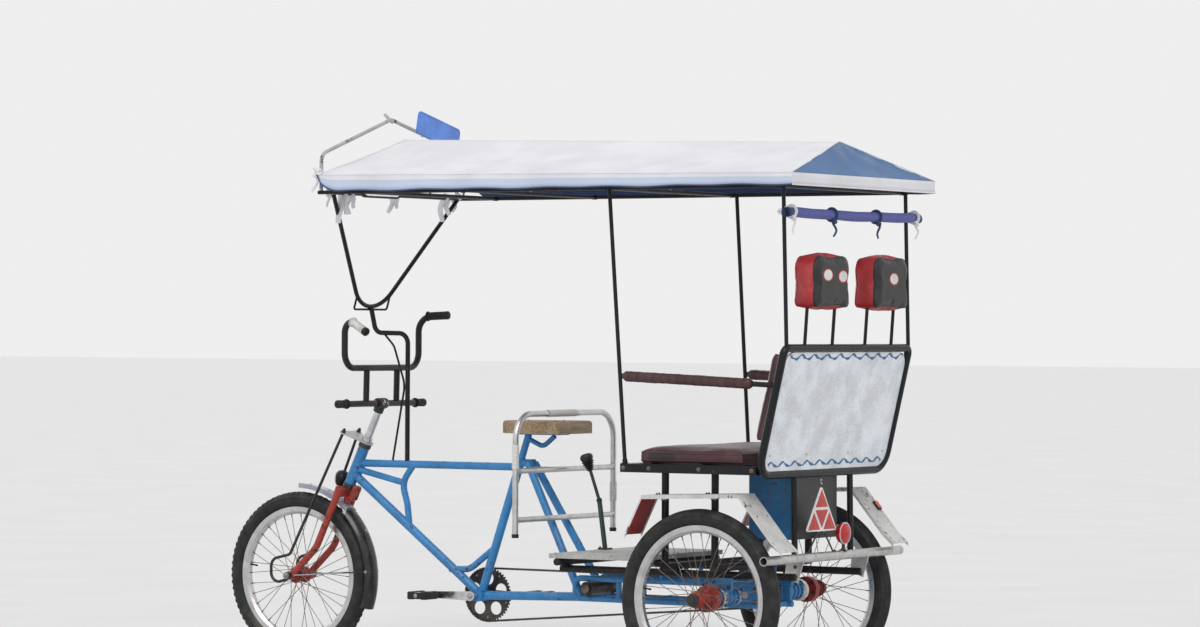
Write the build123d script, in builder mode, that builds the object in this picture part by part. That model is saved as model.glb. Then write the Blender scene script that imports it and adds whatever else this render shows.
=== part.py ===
from build123d import *
from math import atan2, cos, degrees, pi, radians, sin, tan
import os

# A cycle rickshaw: one steered front wheel, a rider's saddle, and a canopied bench over two rear wheels.
# Millimetres. +X is forward, +Y is the rider's left, +Z is up. The origin lies on the ground, below the
# middle of the whole vehicle. Tables give x forward of the rear axle, and spot() moves them to the frame.

os.makedirs("parts", exist_ok=True)

# Overall sizes
WHEELBASE = 1980
TRACK = 800
CANOPY_REAR = 420
CANOPY_HALF_WIDTH = 520
EAVE_Z = 1740

# Wheels: the three are alike but for their hubs
TYRE_R = 312
TYRE_W = 56
RIM_R = 256
RIM_W = 34
RIM_FLANGE = 2
RIM_WELL = 8
RIM_WALL = 18
RIM_DEPTH = 27
SPOKE_COUNT = 36
SPOKE_R = 1.2
SPOKE_SWEEP = 60
FLANGE_R = 30
FLANGE_THICKNESS = 3
SPOKE_HOLE_R = 25
SPOKE_OUTSIDE = 3.9
SPOKE_INSIDE = 2.8
SEAT_GAP = 0.3
RUNNING_GAP = 0.05

# Steering geometry
HEAD_ANGLE = 24.8
FORK_OFFSET = 60
STEERER_R = 14
HEAD_TUBE_R = 21
HEAD_TUBE_BORE = 16.5
HEAD_TUBE_LENGTH = 150
HEAD_TOP_Z = 797
CUP_R = 24
CUP_LENGTH = 18
CROWN_GAP = 0.5
BLADE_R = 13
BLADE_SPREAD = 56
FRONT_AXLE_R = 5

# Frame tubes
FRAME_TUBE_R = 16
TOP_TUBE_R = 14
STAY_R = 14
BRACKET_X = 1165
BRACKET_Z = 265
BRACKET_R = 22
BRACKET_W = 68
SPINDLE_R = 9
SEAT_TUBE_TOP_X = 992
SEAT_TUBE_TOP_Z = 770

# Drive
CHAIN_Y = -45
CHAINRING_TEETH = 48
SPROCKET_TEETH = 24
CHAIN_PITCH = 12.7
TOOTH_HEIGHT = 2.5
RING_THICKNESS = 4
CHAIN_WIDTH = 9
CHAIN_HALF_HEIGHT = 4.5
CHAIN_SLOT = 4.8
CHAIN_WEB = 1.5
RING_HOLES = 5
RING_HOLE_R = 24
RING_HOLE_PITCH_R = 60
CRANK_LENGTH = 170
CRANK_THICKNESS = 13
CRANK_INNER_Y = 62
PEDAL_LENGTH = 95
PEDAL_WIDTH = 84
PEDAL_THICKNESS = 24

# Rear chassis
LADDER_Y = 85
LADDER_R = 11
LADDER_TOP_Z = 348
LADDER_BOTTOM_Z = 276
LADDER_FRONT = 705
LADDER_REAR = -90
CARRIER_RAIL_Y = 235
CARRIER_R = 13
CARRIER_Z = 390
CARRIER_FRONT = 670
CARRIER_REAR = -283
SHAFT_R = 12.5
HOUSING_R = 34
HOUSING_INNER_Y = 180
HOUSING_LENGTH = 120
HUB_GAP = 6

# Passenger bench
SEAT_RAIL_Z = 745
SEAT_RAIL_DEPTH = 30
SEAT_FRONT = 302
SEAT_REAR = -240
SEAT_HALF_WIDTH = 444
LEG_R = 13
CUSHION_HEIGHT = 54
BACK_R = 14
BACK_TOP = (-355, 1178)
BACK_BOTTOM = (-254, 744)
BACK_HALF_WIDTH = 450
BOARD_THICKNESS = 8
PAD_THICKNESS = 72
POST_R = 7
ROOF_R = 7
ROOF_HALF_WIDTH = 441
CANOPY_SHEET = 12
SKIRT = 30
SKIRT_FRONT = 1456
RIDGE_HALF = 4
RIDGE_FRONT = 1509
RIDGE_FRONT_Z = 1936
RIDGE_REAR = -315
RIDGE_REAR_Z = 1895
TIP_FRONT = 1545
TIP_Z = 1790
TIP_HALF_WIDTH = 512

# Fenders
FENDER_W = 112
FENDER_SHEET = 3
FENDER_LIP = 14

REAR_AXLE_X = (CANOPY_REAR - WHEELBASE - TYRE_R) / 2
SIDES = (1, -1)


def spot(x, y, z):
    """A point given by its distance forward of the rear axle."""
    return Vector(REAR_AXLE_X + x, y, z)


def save(block, name):
    block.part.label = name
    export_step(block.part, f"parts/{name}.step")


def rod(start, end, radius, mode=Mode.ADD):
    """A straight round bar or tube."""
    run = end - start
    with BuildSketch(Plane(origin=start, z_dir=run)) as section:
        Circle(radius)
    extrude(section.sketch, amount=run.length, dir=run.normalized(), mode=mode)


def bent(points, radius, bends):
    """A tube through the points, with a bend radius, or a list of them, at its corners."""
    with BuildLine() as route:
        FilletPolyline(*points, radius=bends)
    with BuildSketch(Plane(origin=route.line @ 0, z_dir=route.line % 0)) as section:
        Circle(radius)
    sweep(section.sketch, path=route.line)


def plate(plane, points, thickness, both=False, mode=Mode.ADD):
    """A flat plate with a straight-sided outline."""
    with BuildSketch(plane) as outline:
        with BuildLine():
            Polyline(*points, close=True)
        make_face()
    extrude(outline.sketch, amount=thickness, both=both, mode=mode)


def turned(plane, outline, axis):
    """A solid of revolution from straight-sided (radius, along) points."""
    with BuildSketch(plane) as section:
        with BuildLine():
            Polyline(*outline, close=True)
        make_face()
    revolve(section.sketch, axis=axis)


def wheel_plane(centre):
    """Local x runs out from the wheel's axis and local y runs along it."""
    return Plane(origin=centre, x_dir=(1, 0, 0), z_dir=(0, 0, 1))


# Steering axis: it leans back by HEAD_ANGLE, and the axle lies FORK_OFFSET ahead of it
HEAD_AXIS = Vector(-sin(radians(HEAD_ANGLE)), 0, cos(radians(HEAD_ANGLE)))
HEAD_NORMAL = Vector(cos(radians(HEAD_ANGLE)), 0, sin(radians(HEAD_ANGLE)))
FRONT_AXLE = spot(WHEELBASE, 0, TYRE_R)
AXIS_FOOT = FRONT_AXLE - HEAD_NORMAL * FORK_OFFSET


def on_axis(z):
    """The point of the steering axis at height z."""
    return AXIS_FOOT + HEAD_AXIS * ((z - AXIS_FOOT.Z) / HEAD_AXIS.Z)


HEAD_TOP = on_axis(HEAD_TOP_Z)
HEAD_BOTTOM = HEAD_TOP - HEAD_AXIS * HEAD_TUBE_LENGTH
CUP_TOP = HEAD_TOP + HEAD_AXIS * CUP_LENGTH
CUP_BOTTOM = HEAD_BOTTOM - HEAD_AXIS * CUP_LENGTH

BRACKET = spot(BRACKET_X, 0, BRACKET_Z)
SEAT_TUBE_TOP = spot(SEAT_TUBE_TOP_X, 0, SEAT_TUBE_TOP_Z)
SEAT_TUBE_RUN = (SEAT_TUBE_TOP - BRACKET).normalized()


def toward(start, end, distance):
    return start + (end - start).normalized() * distance


# Wheels
def make_tyre(centre, name):
    bead = RIM_W / 2 - RIM_FLANGE - SEAT_GAP
    half = TYRE_W / 2
    # One side of the section, from the rim seat to the tread: radius, half width
    wall = [(RIM_R - RIM_WELL + SEAT_GAP, bead), (RIM_R + 1, bead), (RIM_R + 8, half - 6), (RIM_R + 17, half - 1),
            (RIM_R + 27, half), (RIM_R + 38, half - 3), (TYRE_R - 9, half - 9), (TYRE_R - 3, half - 16),
            (TYRE_R, half - 23)]
    with BuildPart() as tyre:
        turned(wheel_plane(centre), wall + [(radius, -y) for radius, y in reversed(wall)], Axis(centre, (0, 1, 0)))
    save(tyre, name)


def make_spoked_rim(centre, flange_y, name):
    """A rim and its crossed spokes: half lean forward from outside the flange and half back from inside."""
    half = RIM_W / 2
    step = 720 / SPOKE_COUNT
    inner = SPOKE_HOLE_R
    outer = RIM_R - RIM_DEPTH - SEAT_GAP
    with BuildPart() as rim:
        turned(wheel_plane(centre), [
            (RIM_R, -half), (RIM_R, RIM_FLANGE - half), (RIM_R - RIM_WELL, RIM_FLANGE - half),
            (RIM_R - RIM_WELL, half - RIM_FLANGE), (RIM_R, half - RIM_FLANGE), (RIM_R, half),
            (RIM_R - RIM_WALL, half), (RIM_R - RIM_DEPTH, half / 2),
            (RIM_R - RIM_DEPTH, -half / 2), (RIM_R - RIM_WALL, -half),
        ], Axis(centre, (0, 1, 0)))
        for side in SIDES:
            for index in range(SPOKE_COUNT // 2):
                leading = index % 2 == 0
                hub_angle = radians(index * step + (0 if side > 0 else step / 2))
                rim_angle = hub_angle + radians(SPOKE_SWEEP if leading else -SPOKE_SWEEP)
                hub_y = side * (flange_y + (SPOKE_OUTSIDE if leading else -SPOKE_INSIDE))
                rim_y = side * (5 if leading else 1.5)
                rod(centre + Vector(inner * cos(hub_angle), hub_y, inner * sin(hub_angle)),
                    centre + Vector(outer * cos(rim_angle), rim_y, outer * sin(rim_angle)), SPOKE_R)
    save(rim, name)


def make_hub(centre, flange_y, barrel_r, bore_r, ends, name):
    """Ends lists (from, to, radius) collars along the axle, outside the flanges."""
    axis = Axis(centre, (0, 1, 0))
    plane = wheel_plane(centre)
    grip = FLANGE_THICKNESS / 2
    with BuildPart() as hub:
        turned(plane, [
            (bore_r, -flange_y - grip), (FLANGE_R, -flange_y - grip), (FLANGE_R, grip - flange_y),
            (barrel_r + 4, grip - flange_y), (barrel_r, grip - flange_y + 6), (barrel_r, flange_y - grip - 6),
            (barrel_r + 4, flange_y - grip), (FLANGE_R, flange_y - grip), (FLANGE_R, flange_y + grip),
            (bore_r, flange_y + grip),
        ], axis)
        for start, end, radius in ends:
            turned(plane, [(bore_r, start), (radius, start), (radius, end), (bore_r, end)], axis)
    save(hub, name)


FRONT_FLANGE_Y = 28
REAR_FLANGE_Y = 30
FRONT_HUB_END = 40
HOUSING_OUTER_Y = HOUSING_INNER_Y + HOUSING_LENGTH
HUB_INNER_END = HOUSING_OUTER_Y + HUB_GAP - TRACK / 2
HUB_OUTER_END = 50
DRUM_R = 46
DRUM_LENGTH = 26

make_tyre(FRONT_AXLE, "front_tyre")
make_spoked_rim(FRONT_AXLE, FRONT_FLANGE_Y, "front_spoked_rim")
make_hub(FRONT_AXLE, FRONT_FLANGE_Y, 15, FRONT_AXLE_R + RUNNING_GAP,
         [(FRONT_FLANGE_Y, FRONT_HUB_END, 12), (-FRONT_HUB_END, -FRONT_FLANGE_Y, 12)], "front_hub")

for side, word in ((1, "left"), (-1, "right")):
    centre = spot(0, side * TRACK / 2, TYRE_R)
    make_tyre(centre, f"rear_{word}_tyre")
    make_spoked_rim(centre, REAR_FLANGE_Y, f"rear_{word}_spoked_rim")
    bore = SHAFT_R + (RUNNING_GAP if side > 0 else 0)
    collars = [(REAR_FLANGE_Y, HUB_OUTER_END, 21), (HUB_INNER_END, -REAR_FLANGE_Y, 22),
               (-REAR_FLANGE_Y - 7 - DRUM_LENGTH, -REAR_FLANGE_Y - 7, DRUM_R)]
    if side < 0:
        collars = [(-end, -start, radius) for start, end, radius in collars]
    make_hub(centre, REAR_FLANGE_Y, 19, bore, collars, f"rear_{word}_hub")

# Main frame: welded tubes, with the open steering head and bottom bracket
with BuildPart() as main_frame:
    rod(HEAD_BOTTOM, HEAD_TOP, HEAD_TUBE_R)
    rod(on_axis(737), spot(SEAT_TUBE_TOP_X + 11, 0, 737), TOP_TUBE_R)
    rod(on_axis(697), BRACKET, FRAME_TUBE_R)
    rod(BRACKET, SEAT_TUBE_TOP, FRAME_TUBE_R)
    rod(on_axis(716), spot(1510, 0, 668), STAY_R - 2)
    bent([spot(1466, 0, 737), spot(1518, 0, 668), spot(1494, 0, 590), spot(1484, 0, 506)],
         TOP_TUBE_R - 2, [70, 60])
    bent([spot(1302, 0, 356), spot(1216, 0, 358), BRACKET + SEAT_TUBE_RUN * 186], STAY_R - 2, 70)
    rod(BRACKET, spot(LADDER_FRONT, 0, LADDER_BOTTOM_Z), FRAME_TUBE_R)
    for side in SIDES:
        rod(spot(950, side * 22, 752), spot(LADDER_FRONT - 22, side * (LADDER_Y - 3), LADDER_BOTTOM_Z + 4), STAY_R)
        rod(spot(962, 0, 752), spot(950, side * 22, 752), STAY_R)
    rod(spot(SEAT_TUBE_TOP_X + 4, 0, 752), spot(950, 0, 752), STAY_R)
    rod(BRACKET - Vector(0, BRACKET_W / 2, 0), BRACKET + Vector(0, BRACKET_W / 2, 0), BRACKET_R)
    rod(HEAD_BOTTOM - HEAD_AXIS * 5, HEAD_TOP + HEAD_AXIS * 5, HEAD_TUBE_BORE, Mode.SUBTRACT)
    rod(HEAD_BOTTOM - HEAD_AXIS * 60, HEAD_BOTTOM, CUP_R + 4, Mode.SUBTRACT)
    rod(BRACKET - Vector(0, BRACKET_W, 0), BRACKET + Vector(0, BRACKET_W, 0), SPINDLE_R + RUNNING_GAP,
        Mode.SUBTRACT)
    rod(SEAT_TUBE_TOP - SEAT_TUBE_RUN * 90, SEAT_TUBE_TOP + SEAT_TUBE_RUN * 5, 13, Mode.SUBTRACT)

# Headset cups, whose bores guide the steerer
with BuildPart() as headset_cups:
    for seat, end in ((HEAD_TOP, CUP_TOP), (HEAD_BOTTOM, CUP_BOTTOM)):
        rod(seat, end, CUP_R)
        rod(toward(seat, end, -12), seat, HEAD_TUBE_BORE)
    rod(CUP_BOTTOM, CUP_TOP, STEERER_R + RUNNING_GAP, Mode.SUBTRACT)
save(headset_cups, "headset_cups")

FENDER_INNER_Y = TRACK / 2 - FENDER_W / 2
LEG_Y = FENDER_INNER_Y - LEG_R - SEAT_GAP
CROSS_Z = CARRIER_Z + 2 * CARRIER_R
DECK_HALF_WIDTH = 300
DECK_FRONT = 685
DECK_REAR = 318
DECK_THICKNESS = 16
DECK_Z = CROSS_Z + CARRIER_R
# Cross tubes: x, half length
CROSS_TUBES = ((650, DECK_HALF_WIDTH), (345, DECK_HALF_WIDTH), (184, LEG_Y + LEG_R), (-16, LEG_Y + LEG_R))
LEG_STATIONS = (184, -16)

# Low ladder frame round the rear axle: a closed loop on each side, and uprights to the cross tubes
with BuildPart() as ladder_frame:
    for side in SIDES:
        y = side * LADDER_Y
        bent([spot(LADDER_REAR, y, LADDER_BOTTOM_Z), spot(LADDER_FRONT, y, LADDER_BOTTOM_Z),
              spot(LADDER_FRONT, y, LADDER_TOP_Z), spot(LADDER_REAR, y, LADDER_TOP_Z)], LADDER_R, 24)
        rod(spot(522, y, LADDER_BOTTOM_Z), spot(522, y, LADDER_TOP_Z), LADDER_R - 1)
        plate(Plane(origin=spot(0, y, 0), x_dir=(1, 0, 0), z_dir=(0, -1, 0)),
              [(-48, LADDER_BOTTOM_Z), (48, LADDER_BOTTOM_Z), (48, LADDER_TOP_Z), (-48, LADDER_TOP_Z)],
              6, both=True)
        plate(Plane(origin=spot(LADDER_REAR + 20, y, 0), x_dir=(1, 0, 0), z_dir=(0, -1, 0)),
              [(-14, LADDER_BOTTOM_Z), (14, LADDER_BOTTOM_Z), (14, LADDER_TOP_Z), (-14, LADDER_TOP_Z)],
              8, both=True)
        for x, half in CROSS_TUBES[1:4]:
            rod(spot(x, y, LADDER_TOP_Z), spot(x, y, CROSS_Z), LADDER_R - 3)
    for x in (LADDER_FRONT, LADDER_REAR + 20):
        rod(spot(x, -LADDER_Y, LADDER_BOTTOM_Z + 2), spot(x, LADDER_Y, LADDER_BOTTOM_Z + 2), LADDER_R - 2)
    rod(spot(0, -LADDER_Y * 2, TYRE_R), spot(0, LADDER_Y * 2, TYRE_R), SHAFT_R + RUNNING_GAP, Mode.SUBTRACT)
    for x, half in CROSS_TUBES[1:4]:
        rod(spot(x, -half, CROSS_Z), spot(x, half, CROSS_Z), CARRIER_R, Mode.SUBTRACT)
    add(main_frame.part, mode=Mode.SUBTRACT)
save(main_frame, "main_frame")
save(ladder_frame, "ladder_frame")

# Idler hub, held between the ladder's rails
IDLER_R = (LADDER_TOP_Z - LADDER_BOTTOM_Z) / 2 - LADDER_R - SEAT_GAP
IDLER_Z = (LADDER_TOP_Z + LADDER_BOTTOM_Z) / 2
IDLER_HALF = LADDER_Y + 16
with BuildPart() as idler_hub:
    rod(spot(650, -IDLER_HALF, IDLER_Z), spot(650, IDLER_HALF, IDLER_Z), IDLER_R)
    for side in SIDES:
        rod(spot(650, side * (IDLER_HALF - 4), IDLER_Z), spot(650, side * (IDLER_HALF + 8), IDLER_Z), IDLER_R - 6)
        rod(spot(650, side * (IDLER_HALF + 2), IDLER_Z), spot(650, side * (IDLER_HALF + 9), IDLER_Z),
            IDLER_R - 11, Mode.SUBTRACT)
save(idler_hub, "idler_hub")

# Carrier frame: two rails, with cross tubes welded on top of them
with BuildPart() as carrier_rails:
    for side in SIDES:
        y = side * CARRIER_RAIL_Y
        rod(spot(CARRIER_REAR, y, CARRIER_Z), spot(CARRIER_FRONT, y, CARRIER_Z), CARRIER_R)
save(carrier_rails, "carrier_rails")

with BuildPart() as carrier_cross_tubes:
    for x, half in CROSS_TUBES:
        rod(spot(x, -half, CROSS_Z), spot(x, half, CROSS_Z), CARRIER_R)
save(carrier_cross_tubes, "carrier_cross_tubes")

with BuildPart() as footrest_deck:
    with BuildSketch(Plane.XY.offset(DECK_Z)):
        with Locations(((REAR_AXLE_X + (DECK_FRONT + DECK_REAR) / 2), 0)):
            RectangleRounded(DECK_FRONT - DECK_REAR, 2 * DECK_HALF_WIDTH, 6)
    extrude(amount=DECK_THICKNESS)
save(footrest_deck, "footrest_deck")

# Ribbed axle housings hung from the carrier rails, the left one with a fixed stub axle
HOUSING_MID = HOUSING_INNER_Y + HOUSING_LENGTH / 2
REAR_AXLE = spot(0, 0, TYRE_R)
with BuildPart() as axle_housings:
    for side in SIDES:
        rod(spot(0, side * HOUSING_INNER_Y, TYRE_R), spot(0, side * HOUSING_OUTER_Y, TYRE_R), HOUSING_R - 4)
        for rib in range(5):
            y = side * (HOUSING_INNER_Y + 8 + rib * (HOUSING_LENGTH - 16) / 4)
            rod(spot(0, y - 5, TYRE_R), spot(0, y + 5, TYRE_R), HOUSING_R)
        plate(Plane(origin=spot(0, side * CARRIER_RAIL_Y, 0), x_dir=(1, 0, 0), z_dir=(0, -1, 0)),
              [(-30, TYRE_R + 20), (30, TYRE_R + 20), (30, CARRIER_Z - 4), (-30, CARRIER_Z - 4)], 7, both=True)
        rod(spot(0, side * (HOUSING_INNER_Y - 20), TYRE_R), spot(0, side * (HOUSING_OUTER_Y + 20), TYRE_R),
            SHAFT_R + RUNNING_GAP, Mode.SUBTRACT)
    rod(spot(0, HOUSING_MID, TYRE_R), spot(0, TRACK / 2 + HUB_OUTER_END - 6, TYRE_R), SHAFT_R)
    rod(spot(0, HOUSING_MID, TYRE_R), spot(0, HOUSING_OUTER_Y - 1, TYRE_R), SHAFT_R + 1)
    add(carrier_rails.part, mode=Mode.SUBTRACT)
save(axle_housings, "axle_housings")

# Drive: toothed wheels, the chain's fixed loop and the cranks
XZ_DRIVE = Plane(origin=spot(0, CHAIN_Y, 0), x_dir=(1, 0, 0), z_dir=(0, -1, 0))


def pitch_radius(teeth):
    return CHAIN_PITCH / (2 * sin(pi / teeth))


def toothed_disc(x, z, teeth):
    """A sprocket's blank with one rounded gap between each pair of teeth."""
    with BuildSketch(XZ_DRIVE) as disc:
        with Locations((x, z)):
            Circle(pitch_radius(teeth) + TOOTH_HEIGHT)
            with PolarLocations(pitch_radius(teeth) + 0.6, teeth):
                Circle(CHAIN_PITCH * 0.29, mode=Mode.SUBTRACT)
    extrude(disc.sketch, amount=RING_THICKNESS / 2, both=True)


with BuildPart() as chainring:
    toothed_disc(BRACKET_X, BRACKET_Z, CHAINRING_TEETH)
    with BuildSketch(XZ_DRIVE) as cut_outs:
        with Locations((BRACKET_X, BRACKET_Z)):
            with PolarLocations(RING_HOLE_PITCH_R, RING_HOLES, start_angle=18):
                Circle(RING_HOLE_R)
    extrude(cut_outs.sketch, amount=RING_THICKNESS, both=True, mode=Mode.SUBTRACT)
    rod(spot(BRACKET_X, -CRANK_INNER_Y, BRACKET_Z), spot(BRACKET_X, CHAIN_Y, BRACKET_Z), 26)
    rod(spot(BRACKET_X, -CRANK_INNER_Y, BRACKET_Z), spot(BRACKET_X, 0, BRACKET_Z), SPINDLE_R, Mode.SUBTRACT)
save(chainring, "chainring")

with BuildPart() as rear_axle:
    rod(spot(0, 6 - TRACK / 2 - HUB_OUTER_END, TYRE_R), spot(0, LADDER_Y + 8, TYRE_R), SHAFT_R)
    toothed_disc(0, TYRE_R, SPROCKET_TEETH)
    rod(spot(0, CHAIN_Y - 12, TYRE_R), spot(0, CHAIN_Y + 12, TYRE_R), 24)
save(rear_axle, "rear_axle")


def chain_outline(shift):
    with BuildSketch(XZ_DRIVE) as loop:
        with Locations((BRACKET_X, BRACKET_Z)):
            Circle(pitch_radius(CHAINRING_TEETH) + shift)
        with Locations((0, TYRE_R)):
            Circle(pitch_radius(SPROCKET_TEETH) + shift)
        make_hull()
    return loop.sketch


with BuildPart() as chain:
    extrude(chain_outline(CHAIN_HALF_HEIGHT), amount=CHAIN_WIDTH / 2, both=True)
    extrude(chain_outline(-CHAIN_HALF_HEIGHT), amount=CHAIN_WIDTH, both=True, mode=Mode.SUBTRACT)
    extrude(chain_outline(CHAIN_HALF_HEIGHT - CHAIN_WEB), amount=CHAIN_SLOT / 2, both=True, mode=Mode.SUBTRACT)
save(chain, "chain")

# Cranks on their spindle, the left one forward
with BuildPart() as crank_arms:
    rod(BRACKET - Vector(0, CRANK_INNER_Y + 4, 0), BRACKET + Vector(0, CRANK_INNER_Y + 4, 0), SPINDLE_R)
    for side in SIDES:
        with BuildSketch(Plane(origin=spot(BRACKET_X, side * CRANK_INNER_Y, BRACKET_Z), x_dir=(side, 0, 0),
                               z_dir=(0, side, 0))) as arm:
            Circle(17)
            with Locations((CRANK_LENGTH, 0)):
                Circle(12)
            make_hull()
        extrude(arm.sketch, amount=CRANK_THICKNESS)
save(crank_arms, "crank_arms")

PEDAL_INNER_Y = CRANK_INNER_Y + CRANK_THICKNESS
with BuildPart() as pedals:
    for side in SIDES:
        centre = spot(BRACKET_X + side * CRANK_LENGTH, side * (PEDAL_INNER_Y + 8 + PEDAL_LENGTH / 2), BRACKET_Z)
        rod(spot(BRACKET_X + side * CRANK_LENGTH, side * PEDAL_INNER_Y, BRACKET_Z), centre, 6)
        with BuildSketch(Plane(origin=centre, z_dir=(0, 0, 1))) as body:
            RectangleRounded(PEDAL_WIDTH, PEDAL_LENGTH, 12)
            with GridLocations(PEDAL_WIDTH / 2, 0, 2, 1):
                RectangleRounded(PEDAL_WIDTH / 2 - 14, PEDAL_LENGTH - 22, 5, mode=Mode.SUBTRACT)
        extrude(body.sketch, amount=PEDAL_THICKNESS / 2, both=True)
save(pedals, "pedals")

# Fork: steerer, crown, raked blades and dropouts, and the front axle
CROWN_TOP = CUP_BOTTOM - HEAD_AXIS * CROWN_GAP
CROWN_BOTTOM = CROWN_TOP - HEAD_AXIS * 30
CROWN_MID = (CROWN_TOP + CROWN_BOTTOM) * 0.5
BLADE_Y = BLADE_SPREAD
GUARD_R = 336
GUARD_BULGE = 11
GUARD_ANGLE = 128
GUARD_SEAT = FRONT_AXLE + Vector(cos(radians(GUARD_ANGLE)), 0, sin(radians(GUARD_ANGLE))) * (GUARD_R + GUARD_BULGE)
with BuildPart() as fork:
    rod(CROWN_BOTTOM, CUP_TOP + HEAD_AXIS * 34, STEERER_R)
    with BuildSketch(Plane(origin=CROWN_BOTTOM, x_dir=(0, 1, 0), z_dir=HEAD_AXIS)) as crown:
        SlotCenterToCenter(2 * BLADE_Y, 2 * BLADE_R + 6)
    extrude(crown.sketch, amount=30)
    rod(toward(GUARD_SEAT, CROWN_MID, 2), CROWN_MID, 12)
    for side in SIDES:
        aside = Vector(0, side * BLADE_Y, 0)
        knee = on_axis(418) + HEAD_NORMAL * 2
        bent([CROWN_BOTTOM + HEAD_AXIS * 2 + aside, knee + aside, FRONT_AXLE + aside], BLADE_R, 110)
        rod(FRONT_AXLE + aside * 0.87, FRONT_AXLE + aside * 1.3, BLADE_R + 3)
    rod(FRONT_AXLE - Vector(0, BLADE_Y + 22, 0), FRONT_AXLE + Vector(0, BLADE_Y + 22, 0), FRONT_AXLE_R)
save(fork, "fork")

# Truss: a plate over the headset and two rods down to the axle, hooked round it in front
TRUSS_PLATE = CUP_TOP + HEAD_AXIS * 1
TRUSS_REACH = 78
TRUSS_R = 5.5
with BuildPart() as truss_rods:
    for side in SIDES:
        top = TRUSS_PLATE + HEAD_NORMAL * TRUSS_REACH + Vector(0, side * 49, 0)
        tail_y = side * (BLADE_Y + 27)
        bent([top + HEAD_AXIS * 8, spot(1968, tail_y, 392), spot(2054, tail_y, 372), spot(2054, tail_y, 276),
              spot(WHEELBASE, tail_y, 300)], TRUSS_R, [20, 34, 34])
        rod(spot(WHEELBASE, side * (BLADE_Y + 16), TYRE_R), spot(WHEELBASE, side * (BLADE_Y + 33), TYRE_R), 14)
    with BuildSketch(Plane(origin=TRUSS_PLATE, x_dir=HEAD_NORMAL, z_dir=HEAD_AXIS)) as steel:
        with Locations((TRUSS_REACH, 0)):
            SlotCenterToCenter(98, 26, rotation=90)
        Circle(28)
        make_hull()
        Circle(STEERER_R, mode=Mode.SUBTRACT)
    extrude(steel.sketch, amount=4)
    add(fork.part, mode=Mode.SUBTRACT)
save(truss_rods, "truss_rods")

# Stem and handlebars: a straight bar in the clamp, two risers and a high bar above them
BAR_R = 12
BAR_Z = 960
BAR_HALF = 272
BAR = on_axis(BAR_Z)
HIGH_X = BAR.X - 3
HIGH_Z = 1092
HIGH_HALF = 240
HIGH_TOP_Z = 1282
# Ends of the left and the right high grip: the left one is bent down and out
GRIP_END = {1: Vector(HIGH_X - 120, HIGH_HALF + 38, HIGH_TOP_Z - 57),
            -1: Vector(HIGH_X - 124, -HIGH_HALF - 10, HIGH_TOP_Z + 6)}
RISER_Y = 98
STEM_FOOT = CUP_TOP + HEAD_AXIS * 5.5
with BuildPart() as stem:
    rod(STEM_FOOT, BAR, 15)
    rod(STEM_FOOT, STEM_FOOT + HEAD_AXIS * 16, 20)
    rod(BAR - Vector(0, 26, 0), BAR + Vector(0, 26, 0), BAR_R + 7)
    rod(BAR - Vector(0, 40, 0), BAR + Vector(0, 40, 0), BAR_R, Mode.SUBTRACT)
    add(fork.part, mode=Mode.SUBTRACT)
save(stem, "stem")

with BuildPart() as handlebar:
    rod(BAR - Vector(0, BAR_HALF, 0), BAR + Vector(0, BAR_HALF, 0), BAR_R)
    bent([GRIP_END[-1], Vector(HIGH_X, -HIGH_HALF, HIGH_TOP_Z), Vector(HIGH_X, -HIGH_HALF, HIGH_Z),
          Vector(HIGH_X, HIGH_HALF, HIGH_Z), Vector(HIGH_X, HIGH_HALF, HIGH_TOP_Z), GRIP_END[1]],
         BAR_R, [60, 58, 58, 40])
    for side in SIDES:
        rod(BAR + Vector(0, side * RISER_Y, 0), Vector(HIGH_X, side * RISER_Y, HIGH_Z), BAR_R - 0.5)
save(handlebar, "handlebar")

with BuildPart() as grips:
    for side in SIDES:
        root = Vector(HIGH_X, side * HIGH_HALF, HIGH_TOP_Z)
        run = (GRIP_END[side] - root).normalized()
        rod(GRIP_END[side] - run * 86, GRIP_END[side] + run * 6, BAR_R + 4)
        rod(BAR + Vector(0, side * (BAR_HALF - 52), 0), BAR + Vector(0, side * (BAR_HALF + 10), 0), BAR_R + 3)
    add(handlebar.part, mode=Mode.SUBTRACT)
save(grips, "grips")

# Front mudguard: a bowed channel over the back of the wheel, a lipped strip forward over the tyre, and stays
GUARD_HALF = 38
GUARD_SHEET = 3
GUARD_TAIL = 200
GUARD_BREAK = 132
STRIP_HALF = 22
STRIP_LIP = 18
STRIP_TIP = 91
STAY_ANGLE = 176


def guard_plane(angle):
    """Local x runs out from the front axle at this angle, and local y runs across the wheel."""
    return Plane(origin=FRONT_AXLE, x_dir=(cos(radians(angle)), 0, sin(radians(angle))),
                 z_dir=(sin(radians(angle)), 0, -cos(radians(angle))))


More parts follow.
